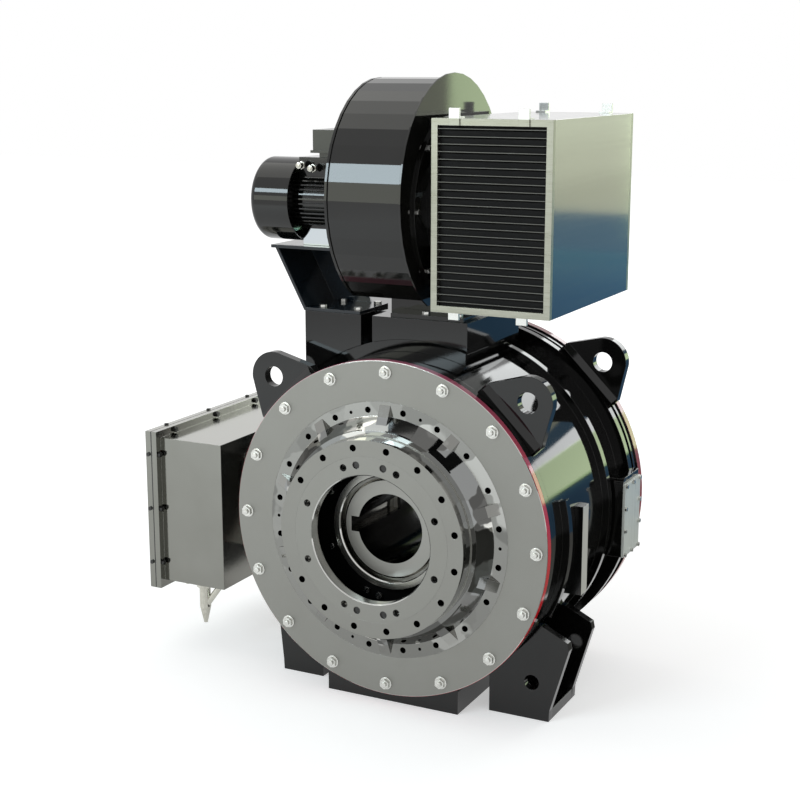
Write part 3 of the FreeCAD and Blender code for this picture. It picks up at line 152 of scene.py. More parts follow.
# each grain is a scale, a detail and a roughness of noise
paintGrain = {
    "cloud": (6.0, 4.0, 0.55), "speck": (420.0, 2.0, 0.6), "peel": (900.0, 1.0, 0.4),
    "cloudRange": (0.35, 0.7), "speckRange": (0.68, 0.80), "roughRange": (0.3, 0.75),
    "dustShare": 0.25, "dustRough": 0.8, "dustTone": (0.16, 0.155, 0.145),
}
metalGrain = {"fine": (1.0, 5.0, 0.65), "fineShare": 0.65, "broad": (0.12, 2.0, 0.5), "broadShare": 0.35,
              "range": (0.35, 0.65)}
latheGrain = (1.0, 3.0, 0.6)


def buildPaintSkin(grain):
    # sprayed paint: cloudy tone, dust specks and a fine orange peel
    group, gIn, gOut = newGroup(
        "paintSkin",
        [("NodeSocketVector", "Vector", None), ("NodeSocketColor", "Base", (0.01, 0.01, 0.01, 1)),
         ("NodeSocketColor", "Cloud", (0.02, 0.02, 0.02, 1)), ("NodeSocketFloat", "Rough Low", 0.1),
         ("NodeSocketFloat", "Rough High", 0.2), ("NodeSocketFloat", "Dust", 0.3)],
        [("NodeSocketColor", "Color"), ("NodeSocketFloat", "Roughness"), ("NodeSocketFloat", "Height")],
    )
    vector = gIn.outputs["Vector"]
    cloud = noiseNode(group, vector, grain["cloud"])["Fac"]
    speck = noiseNode(group, vector, grain["speck"])["Fac"]
    peel = noiseNode(group, vector, grain["peel"])["Fac"]
    cloudFactor = rangeNode(group, cloud, *grain["cloudRange"], 0.0, 1.0)
    tone = mixColour(group, cloudFactor, gIn.outputs["Base"], gIn.outputs["Cloud"])
    dust = rangeNode(group, speck, *grain["speckRange"], 0.0, grain["dustShare"])
    dust = mathNode(group, "MULTIPLY", dust, gIn.outputs["Dust"])
    tone = mixColour(group, dust, tone, grain["dustTone"])
    rough = rangeNode(group, cloud, *grain["roughRange"], gIn.outputs["Rough Low"], gIn.outputs["Rough High"])
    rough = mathNode(group, "ADD", rough, mathNode(group, "MULTIPLY", dust, grain["dustRough"]))
    group.links.new(tone, gOut.inputs["Color"])
    group.links.new(rough, gOut.inputs["Roughness"])
    group.links.new(peel, gOut.inputs["Height"])
    return group


def buildBrushedGrain(grain):
    # long fine scratches; the stretch comes from the Mapping node in front of the group
    group, gIn, gOut = newGroup(
        "brushedGrain",
        [("NodeSocketVector", "Vector", None), ("NodeSocketColor", "Dark", (0.3, 0.3, 0.3, 1)),
         ("NodeSocketColor", "Light", (0.5, 0.5, 0.5, 1)), ("NodeSocketFloat", "Rough Low", 0.2),
         ("NodeSocketFloat", "Rough High", 0.4)],
        [("NodeSocketColor", "Color"), ("NodeSocketFloat", "Roughness"), ("NodeSocketFloat", "Height")],
    )
    vector = gIn.outputs["Vector"]
    fine = noiseNode(group, vector, grain["fine"])["Fac"]
    broad = noiseNode(group, vector, grain["broad"])["Fac"]
    factor = mathNode(group, "MULTIPLY", fine, grain["fineShare"])
    factor = mathNode(group, "ADD", factor, mathNode(group, "MULTIPLY", broad, grain["broadShare"]))
    sharp = rangeNode(group, factor, *grain["range"], 0.0, 1.0)
    tone = mixColour(group, sharp, gIn.outputs["Dark"], gIn.outputs["Light"])
    rough = rangeNode(group, factor, *grain["range"], gIn.outputs["Rough Low"], gIn.outputs["Rough High"])
    group.links.new(tone, gOut.inputs["Color"])
    group.links.new(rough, gOut.inputs["Roughness"])
    group.links.new(factor, gOut.inputs["Height"])
    return group


def buildTurnedRings(grain):
    # lathe marks: rings about the shaft axis, with a slow change of tone
    group, gIn, gOut = newGroup(
        "turnedRings",
        [("NodeSocketVector", "Vector", None), ("NodeSocketFloat", "Rings", 900.0)],
        [("NodeSocketFloat", "Rings"), ("NodeSocketFloat", "Radius")],
    )
    split = splitVector(group, gIn.outputs["Vector"])
    squared = mathNode(group, "ADD", mathNode(group, "MULTIPLY", split["X"], split["X"]),
                       mathNode(group, "MULTIPLY", split["Z"], split["Z"]))
    radius = mathNode(group, "SQRT", squared)
    joined = addNode(group, "ShaderNodeCombineXYZ")
    for label, value in (("X", radius), ("Y", split["Y"])):
        group.links.new(mathNode(group, "MULTIPLY", value, gIn.outputs["Rings"]), joined.inputs[label])
    rings = noiseNode(group, joined.outputs[0], grain)["Fac"]
    group.links.new(rings, gOut.inputs["Rings"])
    group.links.new(radius, gOut.inputs["Radius"])
    return group


paintSkin = buildPaintSkin(paintGrain)
brushedGrain = buildBrushedGrain(metalGrain)
turnedRings = buildTurnedRings(latheGrain)


# builders of materials

surface = {
    "paintEdge": 0.0015, "metalEdge": 0.0008, "edgeSamples": 4,  # rounded edges in the shading, in metres
    "paintBump": 0.0006, "metalBump": 0.0002, "specular": 0.5,
    "litFaceFacing": 0.93,  # how squarely a face with painted light looks along its axis
    "squareFacing": 0.97,  # the same for faces square to the shaft
    "slatSlope": (0.4, 0.97),
    "rimReflectionFade": (-0.05, 0.33), "rimRings": 400.0,
    "sheetUp": (0.4312, 0.7741), "louvreUp": (0.4432, 0.7618), "louvreAcross": (0.1112, 0.3158),
    "turnedCloud": (9.0, 4.0, 0.6), "stainRange": (0.4, 0.75), "stainMost": 0.35,
    "polishRange": (0.3, 0.8), "polishMost": 0.5, "ringRange": (0.3, 0.7), "shineSpread": 0.05,
    "patchWarp": (24.0, 2.0, 0.5), "patchReach": (0.05, 0.05, 0.05), "patchSoft": 0.1,
    "recessShadeWarmth": 0.95,
}


def placeGroup(tree, group, values):
    node = addNode(tree, "ShaderNodeGroup", node_tree=group)
    for label, value in values.items():
        setSocket(tree, node.inputs[label], value)
    return node


def startMaterial(name, stretch, edge):
    # object coordinates through a Mapping node, and a Principled shader at the end
    material = bpy.data.materials.new(name)
    material.use_nodes = True
    tree = material.node_tree
    tree.nodes.clear()
    out = addNode(tree, "ShaderNodeOutputMaterial")
    shader = addNode(tree, "ShaderNodeBsdfPrincipled")
    tree.links.new(shader.outputs[0], out.inputs["Surface"])
    coords = addNode(tree, "ShaderNodeTexCoord")
    mapping = addNode(tree, "ShaderNodeMapping")
    mapping.inputs["Scale"].default_value = stretch
    tree.links.new(coords.outputs["Object"], mapping.inputs["Vector"])
    bump = addNode(tree, "ShaderNodeBump")
    tree.links.new(bump.outputs[0], shader.inputs["Normal"])
    bevel = addNode(tree, "ShaderNodeBevel", samples=surface["edgeSamples"])
    bevel.inputs["Radius"].default_value = edge
    tree.links.new(bevel.outputs[0], bump.inputs["Normal"])
    return material, tree, shader, mapping.outputs[0], bump, coords.outputs


def endMaterial(tree, shader, bump, colour, rough, height, depth, distance):
    for value, label in ((colour, "Base Color"), (rough, "Roughness")):
        tree.links.new(value, shader.inputs[label])
    tree.links.new(height, bump.inputs["Height"])
    bump.inputs["Strength"].default_value = depth
    bump.inputs["Distance"].default_value = distance


def heightMask(tree, coords, span):
    return between(tree, splitVector(tree, coords["Object"])["Z"], *span)


def paintRim(tree, coords, colour, rim):
    # a red band painted on the outermost edge of a round plate, and its change of tint from the sides to the top is
    # painted reflection
    rings = placeGroup(tree, turnedRings, {"Rings": surface["rimRings"], "Vector": coords["Object"]})
    onRim = mathNode(tree, "GREATER_THAN", rings.outputs["Radius"], rim["radius"])
    # painted reflection: the band's tint goes from the side tone to the top tone with height
    blend = rangeNode(tree, splitVector(tree, coords["Object"])["Z"], *surface["rimReflectionFade"], 0.0, 1.0)
    band = mixColour(tree, blend, rim["side"], rim["top"])
    return mixColour(tree, onRim, colour, band), onRim


def paintedMaterial(name, look):
    edge = look.get("edge", surface["paintEdge"])
    material, tree, shader, vector, bump, coords = startMaterial(name, (1.0, 1.0, 1.0), edge)
    skin = placeGroup(tree, paintSkin, {
        "Vector": vector, "Base": look["base"], "Cloud": look["cloud"], "Rough Low": look["rough"][0],
        "Rough High": look["rough"][1], "Dust": look["dust"],
    }).outputs
    colour = skin["Color"]
    shader.inputs["Metallic"].default_value = look["metallic"]
    if "rim" in look:
        colour = paintRim(tree, coords, colour, look["rim"])[0]
    if "bare" in look:
        # one part of the casting is bare metal
        mask = heightMask(tree, coords, look["bare"]["up"])
        colour = mixColour(tree, mask, colour, look["bare"]["tone"])
        tree.links.new(mask, shader.inputs["Metallic"])
    if "paintedLitFace" in look:
        # painted light: faces square to the given axis get a lighter tone; it is a painted highlight on the terminal
        # box tops and a painted reflection on the side pad's outer face
        axis, tone = look["paintedLitFace"]
        facing = splitVector(tree, coords["Normal"])[axis]
        mask = mathNode(tree, "GREATER_THAN", facing, surface["litFaceFacing"])
        colour = mixColour(tree, mask, colour, tone)
    shader.inputs["Specular IOR Level"].default_value = look.get("specular", surface["specular"])
    endMaterial(tree, shader, bump, colour, skin["Roughness"], skin["Height"], look["peel"], surface["paintBump"])
    return material


def brushedMaterial(name, look):
    edge = look.get("edge", surface["metalEdge"])
    material, tree, shader, vector, bump, coords = startMaterial(name, look["stretch"], edge)
    grain = placeGroup(tree, brushedGrain, {
        "Vector": vector, "Dark": look["dark"], "Light": look["light"], "Rough Low": look["rough"][0],
        "Rough High": look["rough"][1],
    }).outputs
    colour = grain["Color"]
    if "paintedReflectionFade" in look:
        # painted reflection: the sheet's tone grows lighter from its bottom edge to its top edge
        height = rangeNode(tree, splitVector(tree, coords["Object"])["Z"], *look["paintedReflectionFade"]["up"], 0.0, 1.0)
        colour = mixColour(tree, 1.0, colour, toneRamp(tree, height, look["paintedReflectionFade"]["tones"], "EASE"), "MULTIPLY")
    shader.inputs["Metallic"].default_value = look["metallic"]
    if "tabs" in look:
        # the sheet's tone ends at its own edges; the tabs beyond them are plain
        colour = mixColour(tree, heightMask(tree, coords, surface["sheetUp"]), look["tabs"], colour)
    if "louvreShade" in look:
        # painted shade: the slats' front edges inside the grille field are darker than the frame around them
        across = between(tree, splitVector(tree, coords["Object"])["X"], *surface["louvreAcross"])
        mask = mathNode(tree, "MULTIPLY", across, heightMask(tree, coords, surface["louvreUp"]))
        colour = mixColour(tree, mask, colour, look["louvreShade"])
    if "slats" in look:
        # painted shade: the sloping faces of the slats are painted near black for the shade in the gaps between them,
        # their front edges are bare
        steep = mathNode(tree, "ABSOLUTE", splitVector(tree, coords["Normal"])["Z"])
        mask = between(tree, steep, *surface["slatSlope"])
        colour = mixColour(tree, mask, colour, look["slats"])
        tree.links.new(outside(tree, mask, look["metallic"]), shader.inputs["Metallic"])
    shader.inputs["Specular IOR Level"].default_value = look.get("specular", surface["specular"])
    endMaterial(tree, shader, bump, colour, grain["Roughness"], grain["Height"], look["depth"], surface["metalBump"])
    return material


def zoneMask(tree, radius, depth, inner, outer, front):
    # 1 between two radii and behind a plane square to the shaft, 0 elsewhere
    ring = between(tree, radius, inner, outer)
    return mathNode(tree, "MULTIPLY", ring, mathNode(tree, "GREATER_THAN", depth, front))


def paintedReflectionCells(tree, vector, zone):
    # painted reflection: cells of light and dark tone with soft uneven borders, standing in for the mirror-like
    # reflections of polished steel
    moved = addNode(tree, "ShaderNodeVectorMath", operation="MULTIPLY_ADD")
    tree.links.new(noiseNode(tree, vector, surface["patchWarp"])["Color"], moved.inputs[0])
    moved.inputs[1].default_value = surface["patchReach"]
    tree.links.new(vector, moved.inputs[2])
    cells = addNode(tree, "ShaderNodeTexVoronoi", feature="SMOOTH_F1")
    cells.inputs["Scale"].default_value = zone["scale"]
    cells.inputs["Smoothness"].default_value = surface["patchSoft"]
    tree.links.new(moved.outputs[0], cells.inputs["Vector"])
    shade = addNode(tree, "ShaderNodeSeparateColor")
    tree.links.new(cells.outputs["Color"], shade.inputs[0])
    return toneRamp(tree, shade.outputs[0], zone["tones"])


def turnedMaterial(name, look):
    # faces square to the shaft are satin with lathe rings, the rest is polished
    material, tree, shader, vector, bump, coords = startMaterial(name, (1.0, 1.0, 1.0), surface["metalEdge"])
    lathe = placeGroup(tree, turnedRings, {"Vector": vector, "Rings": look["rings"]}).outputs
    rings, radius = lathe["Rings"], lathe["Radius"]
    depth = splitVector(tree, coords["Object"])["Y"]
    facing = mathNode(tree, "ABSOLUTE", splitVector(tree, coords["Normal"])["Y"])
    square = mathNode(tree, "GREATER_THAN", facing, surface["squareFacing"])
    cloud = noiseNode(tree, vector, surface["turnedCloud"])["Fac"]
    stained = rangeNode(tree, cloud, *surface["stainRange"], 0.0, surface["stainMost"])
    satin = mixColour(tree, stained, mixColour(tree, rings, look["dark"], look["light"]), look["stain"])
    dulled = rangeNode(tree, cloud, *surface["polishRange"], 0.0, surface["polishMost"])
    colour = mixColour(tree, square, mixColour(tree, dulled, look["polish"], look["stain"]), satin)
    rough = rangeNode(tree, rings, *surface["ringRange"], *look["rough"])
    shine = rangeNode(tree, cloud, *surface["polishRange"], look["shine"], look["shine"] + surface["shineSpread"])
    rough = mixFloat(tree, square, shine, rough)
    shader.inputs["Metallic"].default_value = look["metallic"]
    if "rim" in look:
        colour, onRim = paintRim(tree, coords, colour, look["rim"])
        tree.links.new(outside(tree, onRim, look["metallic"]), shader.inputs["Metallic"])
    # painted reflection: light and dark cells on the shield's polished zones
    for zone in look.get("reflectionPatches", ()):
        mask = zoneMask(tree, radius, depth, zone["inner"], zone["outer"], zone["front"])
        colour = mixColour(tree, mask, colour, paintedReflectionCells(tree, vector, zone))
        rough = mixFloat(tree, mask, rough, zone["shine"])
    for inner, outer, front, tone in look.get("recessShade", ()):
        # painted shade: holes and recesses are painted nearly black
        mask = zoneMask(tree, radius, depth, inner, outer, front)
        colour = mixColour(tree, mask, colour, (tone, tone, tone * surface["recessShadeWarmth"]))
    endMaterial(tree, shader, bump, colour, rough, rings, look["depth"], surface["metalBump"])
    return material


# materials

blackGloss = paintedMaterial("blackGloss", {
    "base": (0.0026, 0.0026, 0.0025), "cloud": (0.0048, 0.0048, 0.0046), "rough": (0.035, 0.10),
    "dust": 0.35, "peel": 0.02, "metallic": 0.0, "specular": 0.44,
})
padPaint = paintedMaterial("padPaint", {
    "base": (0.0035, 0.0036, 0.0036), "cloud": (0.006, 0.0062, 0.0062), "rough": (0.10, 0.22),
    # painted reflection: the pad's outer face is lighter
    "dust": 0.35, "peel": 0.02, "metallic": 0.0, "paintedLitFace": ("X", (0.60, 0.60, 0.55)),
})
pedestalPaint = paintedMaterial("pedestalPaint", {
    "base": (0.007, 0.012, 0.017), "cloud": (0.012, 0.018, 0.024), "rough": (0.06, 0.14),
    "dust": 0.4, "peel": 0.03, "metallic": 0.0,
})
rearRing = paintedMaterial("rearRing", {
    "base": (0.0035, 0.0036, 0.0036), "cloud": (0.006, 0.0062, 0.0062), "rough": (0.04, 0.12),
    "dust": 0.35, "peel": 0.02, "metallic": 0.0,
    # red rim band, with painted reflection from side tone to top tone
    "rim": {"radius": 0.3524, "side": (0.36, 0.05, 0.03), "top": (0.30, 0.10, 0.11)},
})
blowerPaint = paintedMaterial("blowerPaint", {
    "base": (0.0045, 0.0045, 0.0040), "cloud": (0.008, 0.008, 0.007), "rough": (0.03, 0.08),
    "dust": 0.3, "peel": 0.015, "metallic": 0.0, "edge": 0.0008, "specular": 0.44,
})
motorPaint = paintedMaterial("motorPaint", {
    "base": (0.0045, 0.0045, 0.0042), "cloud": (0.008, 0.008, 0.0075), "rough": (0.04, 0.10),
    "dust": 0.3, "peel": 0.015, "metallic": 0.0, "edge": 0.0008,
    "bare": {"up": (0.5195, 0.552), "tone": (0.56, 0.61, 0.64)},
})
hoodPaint = paintedMaterial("hoodPaint", {
    "base": (0.036, 0.038, 0.031), "cloud": (0.046, 0.048, 0.040), "rough": (0.14, 0.24),
    "dust": 0.4, "peel": 0.03, "metallic": 0.0, "edge": 0.0008,
})
boxGrey = paintedMaterial("boxGrey", {
    "base": (0.205, 0.205, 0.185), "cloud": (0.232, 0.232, 0.212), "rough": (0.10, 0.17),
    # painted highlight: the box tops are lighter
    "dust": 0.2, "peel": 0.03, "metallic": 1.0, "paintedLitFace": ("Z", (0.42, 0.42, 0.39)),
})
faceSteel = turnedMaterial("faceSteel", {
    "dark": (0.225, 0.225, 0.208), "light": (0.275, 0.275, 0.255), "stain": (0.225, 0.22, 0.20),
    "polish": (0.60, 0.60, 0.58), "rough": (0.36, 0.50), "shine": 0.05, "rings": 900.0,
    "depth": 0.12, "metallic": 0.9,
    # red rim band, with painted reflection from side tone to top tone
    "rim": {"radius": 0.3293, "side": (0.62, 0.010, 0.018), "top": (0.42, 0.10, 0.17)},
})
shieldSteel = turnedMaterial("shieldSteel", {
    "dark": (0.215, 0.215, 0.200), "light": (0.265, 0.265, 0.245), "stain": (0.22, 0.215, 0.20),
    "polish": (0.62, 0.62, 0.60), "rough": (0.34, 0.48), "shine": 0.035, "rings": 900.0,
    "depth": 0.08, "metallic": 1.0,
    # painted reflection: light and dark cells in two zones of the shield
    "reflectionPatches": (
        {"inner": 0.1935, "outer": 0.2243, "front": -0.0605, "scale": 17.0, "shine": 0.03, "tones": (
            (0.0, (0.07, 0.07, 0.067)), (0.3, (0.17, 0.17, 0.163)), (0.55, (0.30, 0.31, 0.31)),
            (0.75, (0.45, 0.44, 0.40)), (1.0, (0.78, 0.78, 0.75)))},
        {"inner": 0.2243, "outer": 0.2512, "front": -0.0605, "scale": 13.0, "shine": 0.12, "tones": (
            (0.0, (0.16, 0.16, 0.15)), (0.4, (0.22, 0.22, 0.207)), (0.8, (0.27, 0.27, 0.255)),
            (1.0, (0.42, 0.42, 0.40)))},
    ),
    # painted shade: dark bands in the hub bore and grooves
    "recessShade": ((0.0, 0.1640, 0.006, 0.008), (0.1690, 0.1860, -0.0575, 0.006), (0.2290, 0.2430, 0.0035, 0.006)),
})
labyrinthSteel = turnedMaterial("labyrinthSteel", {
    "dark": (0.27, 0.27, 0.25), "light": (0.33, 0.33, 0.31), "stain": (0.25, 0.245, 0.225),
    "polish": (0.66, 0.66, 0.64), "rough": (0.20, 0.32), "shine": 0.03, "rings": 1100.0,
    "depth": 0.06, "metallic": 1.0,
})
shaftSteel = turnedMaterial("shaftSteel", {
    "dark": (0.25, 0.25, 0.235), "light": (0.30, 0.30, 0.28), "stain": (0.24, 0.235, 0.215),
    "polish": (0.42, 0.41, 0.38), "rough": (0.30, 0.44), "shine": 0.08, "rings": 1200.0,
    # painted shade: the shaft bore is nearly black
    "depth": 0.10, "metallic": 1.0, "recessShade": ((0.0, 0.0755, 0.0195, 0.035),),
})
retainerBlack = paintedMaterial("retainerBlack", {
    "base": (0.0012, 0.0012, 0.0012), "cloud": (0.003, 0.003, 0.003), "rough": (0.45, 0.6),
    "dust": 0.1, "peel": 0.05, "metallic": 0.0, "specular": 0.05,
})
bearingSteel = turnedMaterial("bearingSteel", {
    "dark": (0.46, 0.46, 0.45), "light": (0.56, 0.56, 0.55), "stain": (0.40, 0.39, 0.36),
    "polish": (0.60, 0.60, 0.58), "rough": (0.16, 0.26), "shine": 0.08, "rings": 1600.0,
    "depth": 0.05, "metallic": 1.0,
})
coreSheets = turnedMaterial("coreSheets", {
    "dark": (0.10, 0.10, 0.105), "light": (0.20, 0.20, 0.21), "stain": (0.14, 0.10, 0.07),
    "polish": (0.16, 0.16, 0.17), "rough": (0.40, 0.60), "shine": 0.35, "rings": 1500.0,
    "depth": 0.4, "metallic": 0.9,
})
boltSteel = brushedMaterial("boltSteel", {
    "stretch": (900.0, 300.0, 900.0), "dark": (0.50, 0.50, 0.47), "light": (0.70, 0.70, 0.67),
    "rough": (0.18, 0.32), "depth": 0.15, "metallic": 1.0, "edge": 0.0012,
})
darkScrews = brushedMaterial("darkScrews", {
    "stretch": (900.0, 300.0, 900.0), "dark": (0.03, 0.03, 0.03), "light": (0.07, 0.07, 0.068),
    "rough": (0.30, 0.45), "depth": 0.1, "metallic": 0.9, "edge": 0.0006,
})
coverPlate = brushedMaterial("coverPlate", {
    "stretch": (1600.0, 1600.0, 24.0), "dark": (0.62, 0.66, 0.62), "light": (0.78, 0.82, 0.77),
    "rough": (0.26, 0.38), "depth": 0.25, "metallic": 0.20,
})
filterSheet = brushedMaterial("filterSheet", {
    "stretch": (30.0, 30.0, 1500.0), "dark": (0.94, 0.94, 0.94), "light": (1.0, 1.0, 1.0),
    "rough": (0.10, 0.15), "depth": 0.02, "metallic": 1.0,
    # painted reflection: the sheet is lighter towards its top
    "paintedReflectionFade": {"up": (0.431, 0.774), "tones": (
        (0.0, (0.275, 0.275, 0.28)), (0.42, (0.275, 0.275, 0.275)), (0.60, (0.295, 0.29, 0.28)),
        (0.78, (0.385, 0.38, 0.37)), (1.0, (0.46, 0.46, 0.45)),
    )},
    "tabs": (0.44, 0.45, 0.44),
})
filterFrame = brushedMaterial("filterFrame", {
    "stretch": (40.0, 900.0, 900.0), "dark": (0.29, 0.295, 0.245), "light": (0.37, 0.375, 0.32),
    # painted shade: near-black sloping slat faces
    "rough": (0.26, 0.36), "depth": 0.2, "metallic": 0.9, "slats": (0.0008, 0.0008, 0.0008), "specular": 0.0,
    # painted shade: the grille field is darker than the frame
    "tabs": (0.66, 0.67, 0.65), "louvreShade": (0.095, 0.096, 0.088),
})
galvanised = brushedMaterial("galvanised", {
    "stretch": (60.0, 60.0, 60.0), "dark": (0.36, 0.37, 0.38), "light": (0.55, 0.56, 0.57),
    "rough": (0.28, 0.45), "depth": 0.1, "metallic": 1.0,
})
platedBrass = brushedMaterial("platedBrass", {
    "stretch": (600.0, 600.0, 90.0), "dark": (0.40, 0.39, 0.34), "light": (0.60, 0.59, 0.53),
    "rough": (0.14, 0.26), "depth": 0.15, "metallic": 1.0, "edge": 0.001,
})
magnetNickel = brushedMaterial("magnetNickel", {
    "stretch": (200.0, 20.0, 200.0), "dark": (0.40, 0.40, 0.40), "light": (0.54, 0.54, 0.53),
    "rough": (0.16, 0.28), "depth": 0.08, "metallic": 1.0,
})
windingWire = brushedMaterial("windingWire", {
    "stretch": (700.0, 60.0, 700.0), "dark": (0.25, 0.08, 0.025), "light": (0.50, 0.19, 0.07),
    "rough": (0.25, 0.40), "depth": 0.7, "metallic": 0.3,
})
gasketRubber = paintedMaterial("gasketRubber", {
    "base": (0.012, 0.012, 0.012), "cloud": (0.02, 0.02, 0.02), "rough": (0.6, 0.8),
    "dust": 0.8, "peel": 0.2, "metallic": 0.0,
})
boardResin = paintedMaterial("boardResin", {
    "base": (0.42, 0.36, 0.24), "cloud": (0.50, 0.44, 0.31), "rough": (0.4, 0.55),
    "dust": 0.4, "peel": 0.15, "metallic": 0.0,
})
fanPlastic = paintedMaterial("fanPlastic", {
    "base": (0.02, 0.02, 0.02), "cloud": (0.03, 0.03, 0.03), "rough": (0.4, 0.55),
    "dust": 0.6, "peel": 0.15, "metallic": 0.0,
})
filterFleece = paintedMaterial("filterFleece", {
    "base": (0.003, 0.003, 0.003), "cloud": (0.006, 0.006, 0.006), "rough": (0.85, 0.95),
    "dust": 0.2, "peel": 0.9, "metallic": 0.0,
})

finishOf = {
    blackGloss: ["housing", "front_right_lug", "front_left_lug", "rear_right_lug", "rear_left_lug", "right_foot",
                 "left_foot", "base_box", "sensor_box", "air_plenum", "plenum_saddle", "rear_bearing_cover"],
    padPaint: ["side_pad"],
    pedestalPaint: ["motor_pedestal"],
    rearRing: ["rear_end_shield"],
    blowerPaint: ["scroll_casing", "scroll_inlet_plate", "inlet_ring", "blower_motor_cowl"],
    motorPaint: ["blower_motor_frame"],
    hoodPaint: ["blower_terminal_box"],
    boxGrey: ["terminal_box", "terminal_box_lid"],
    faceSteel: ["drive_end_flange", "bearing_cover"],
    shieldSteel: ["drive_end_shield"],
    labyrinthSteel: ["labyrinth_ring"],
    shaftSteel: ["hollow_shaft"],
    retainerBlack: ["bearing_retainer"],
    bearingSteel: ["front_bearing_outer_race", "front_bearing_inner_race", "front_bearing_rollers",
                   "rear_bearing_outer_race", "rear_bearing_inner_race", "rear_bearing_rollers", "blower_shaft"],
    coreSheets: ["rotor_core", "stator_core"],
    boltSteel: ["flange_bolts", "retainer_screws", "rear_flange_bolts", "rear_cover_screws", "sensor_cover_screws",
                "inlet_ring_screws", "blower_mount_bolts"],
    darkScrews: ["bearing_cover_screws", "terminal_box_screws"],
    coverPlate: ["sensor_cover"],
    filterSheet: ["filter_box"],
    filterFrame: ["front_grille", "rear_grille"],
    galvanised: ["impeller"],
    platedBrass: ["cable_gland", "blanking_plugs"],
    magnetNickel: ["rotor_magnets"],
    windingWire: ["stator_windings"],
    gasketRubber: ["terminal_box_gasket"],
    boardResin: ["terminal_board"],
    fanPlastic: ["cooling_fan"],
    filterFleece: ["filter_mats"],
}

dressed = set()
for material, names in finishOf.items():
    for name in names:
        for materialSlot in nodes[name].material_slots:
            materialSlot.material = material
        dressed.add(name)
print("dressed:", len(dressed), "left:", sorted(set(nodes) - dressed))


# pieces made here

# angles: degrees for the smoothing, radians for the edges that are bevelled
barShape = {"smoothBelow": 35.0, "bevelAbove": 1.2, "bevelSteps": 2}


def newObject(name, bm, material):
    mesh = bpy.data.meshes.new(name)
    bm.to_mesh(mesh)
    bm.free()
    mesh.materials.append(material)
    made = bpy.data.objects.new(name, mesh)
    bpy.context.scene.collection.objects.link(made)
    return made


def finishPiece(name, bm, material, body):
    bmesh.ops.remove_doubles(bm, verts=bm.verts, dist=1e-6)
    bmesh.ops.recalc_face_normals(bm, faces=bm.faces)
    piece = newObject(name, bm, material)
    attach(piece, body)
    return piece


def smoothSides(piece):
    for polygon in piece.data.polygons:
        polygon.use_smooth = True
    piece.data.set_sharp_from_angle(angle=math.radians(barShape["smoothBelow"]))


def addBar(bm, centre, direction, radius, length, segments=20, soft=0.0004):
    # a short round or six-sided bar along a direction, with its end edges bevelled
    made = bmesh.ops.create_cone(bm, cap_ends=True, segments=segments, radius1=radius, radius2=radius, depth=length)
    bars = made["verts"]
    turned = Vector((0, 0, 1)).rotation_difference(Vector(direction)).to_matrix()
    bmesh.ops.rotate(bm, verts=bars, cent=(0, 0, 0), matrix=turned)
    bmesh.ops.translate(bm, verts=bars, vec=centre)
    rims = {edge for corner in bars for edge in corner.link_edges if edge.calc_face_angle(0.0) > barShape["bevelAbove"]}
    bmesh.ops.bevel(bm, geom=list(rims), offset=soft, offset_type="OFFSET", affect="EDGES",
                    segments=barShape["bevelSteps"], profile=0.5, material=-1)


# washers and stud ends on the two bolt rings
boltRings = {
    "flangeStuds": {"circle": 0.3076, "count": 16, "face": 0.0, "out": -1.0},
    "rearStuds": {"circle": 0.3380, "count": 16, "face": 0.470, "out": 1.0},
}
studShape = {"washer": 0.0126, "washerThick": 0.0014, "head": 0.008, "stud": 0.0052, "studLength": 0.0036,
             "studSoft": 0.0009}

for ringName, ring in boltRings.items():
    bm = bmesh.new()
    for step in range(ring["count"]):
        turn = math.tau * step / ring["count"]
        spot = Vector((ring["circle"] * math.cos(turn), ring["face"], ring["circle"] * math.sin(turn)))
        out = Vector((0.0, ring["out"], 0.0))
        addBar(bm, spot + out * studShape["washerThick"] / 2, out, studShape["washer"], studShape["washerThick"])
        middle = studShape["head"] + studShape["studLength"] / 2
        addBar(bm, spot + out * middle, out, studShape["stud"], studShape["studLength"], soft=studShape["studSoft"])
    smoothSides(finishPiece(ringName, bm, boltSteel, "frame"))

# two cable glands on the front of the blower motor: where each length starts, how long it is, its radius,
# its sides and the softness of its edges
motorGlands = {
    "places": ((-0.2337, 0.106, 0.676), (-0.2085, 0.106, 0.671)),
    "hexagon": (0.0, 0.006, 0.0082, 6, 0.0004),
    "cap": (0.006, 0.011, 0.0066, 20, 0.0016),
    "hole": (0.0169, 0.0008, 0.0036, 16, 0.0002),
}
bm = bmesh.new()
for spot in motorGlands["places"]:
    for part in ("hexagon", "cap", "hole"):
        start, length, radius, sides, soft = motorGlands[part]
        out = Vector((0.0, -1.0, 0.0))
        addBar(bm, Vector(spot) + out * (start + length / 2), out, radius, length, sides, soft)
smoothSides(finishPiece("motorGlands", bm, platedBrass, "frame"))
print("small pieces built")


# camera

cameraView = {
    "place": (1.27057, -2.44596, 0.86374), "azimuth": 26.879, "elevation": 12.444, "lens": 68.203,
    "sensor": 36.0, "reach": 60.0,
}


def buildCamera(view):
    turn, rise = math.radians(view["azimuth"]), math.radians(view["elevation"])
    back = Vector((math.sin(turn) * math.cos(rise), -math.cos(turn) * math.cos(rise), math.sin(rise)))
    right = Vector((math.cos(turn), math.sin(turn), 0.0))
    up = back.cross(right)
    data = bpy.data.cameras.new("camera")
    data.lens = view["lens"]
    data.sensor_width = view["sensor"]
    data.clip_end = view["reach"]
    camera = bpy.data.objects.new("camera", data)
    turned = Matrix((right, up, back)).transposed().to_4x4()
    camera.matrix_world = Matrix.Translation(Vector(view["place"])) @ turned
    bpy.context.scene.collection.objects.link(camera)
    bpy.context.scene.camera = camera


buildCamera(cameraView)


# floor, light and background

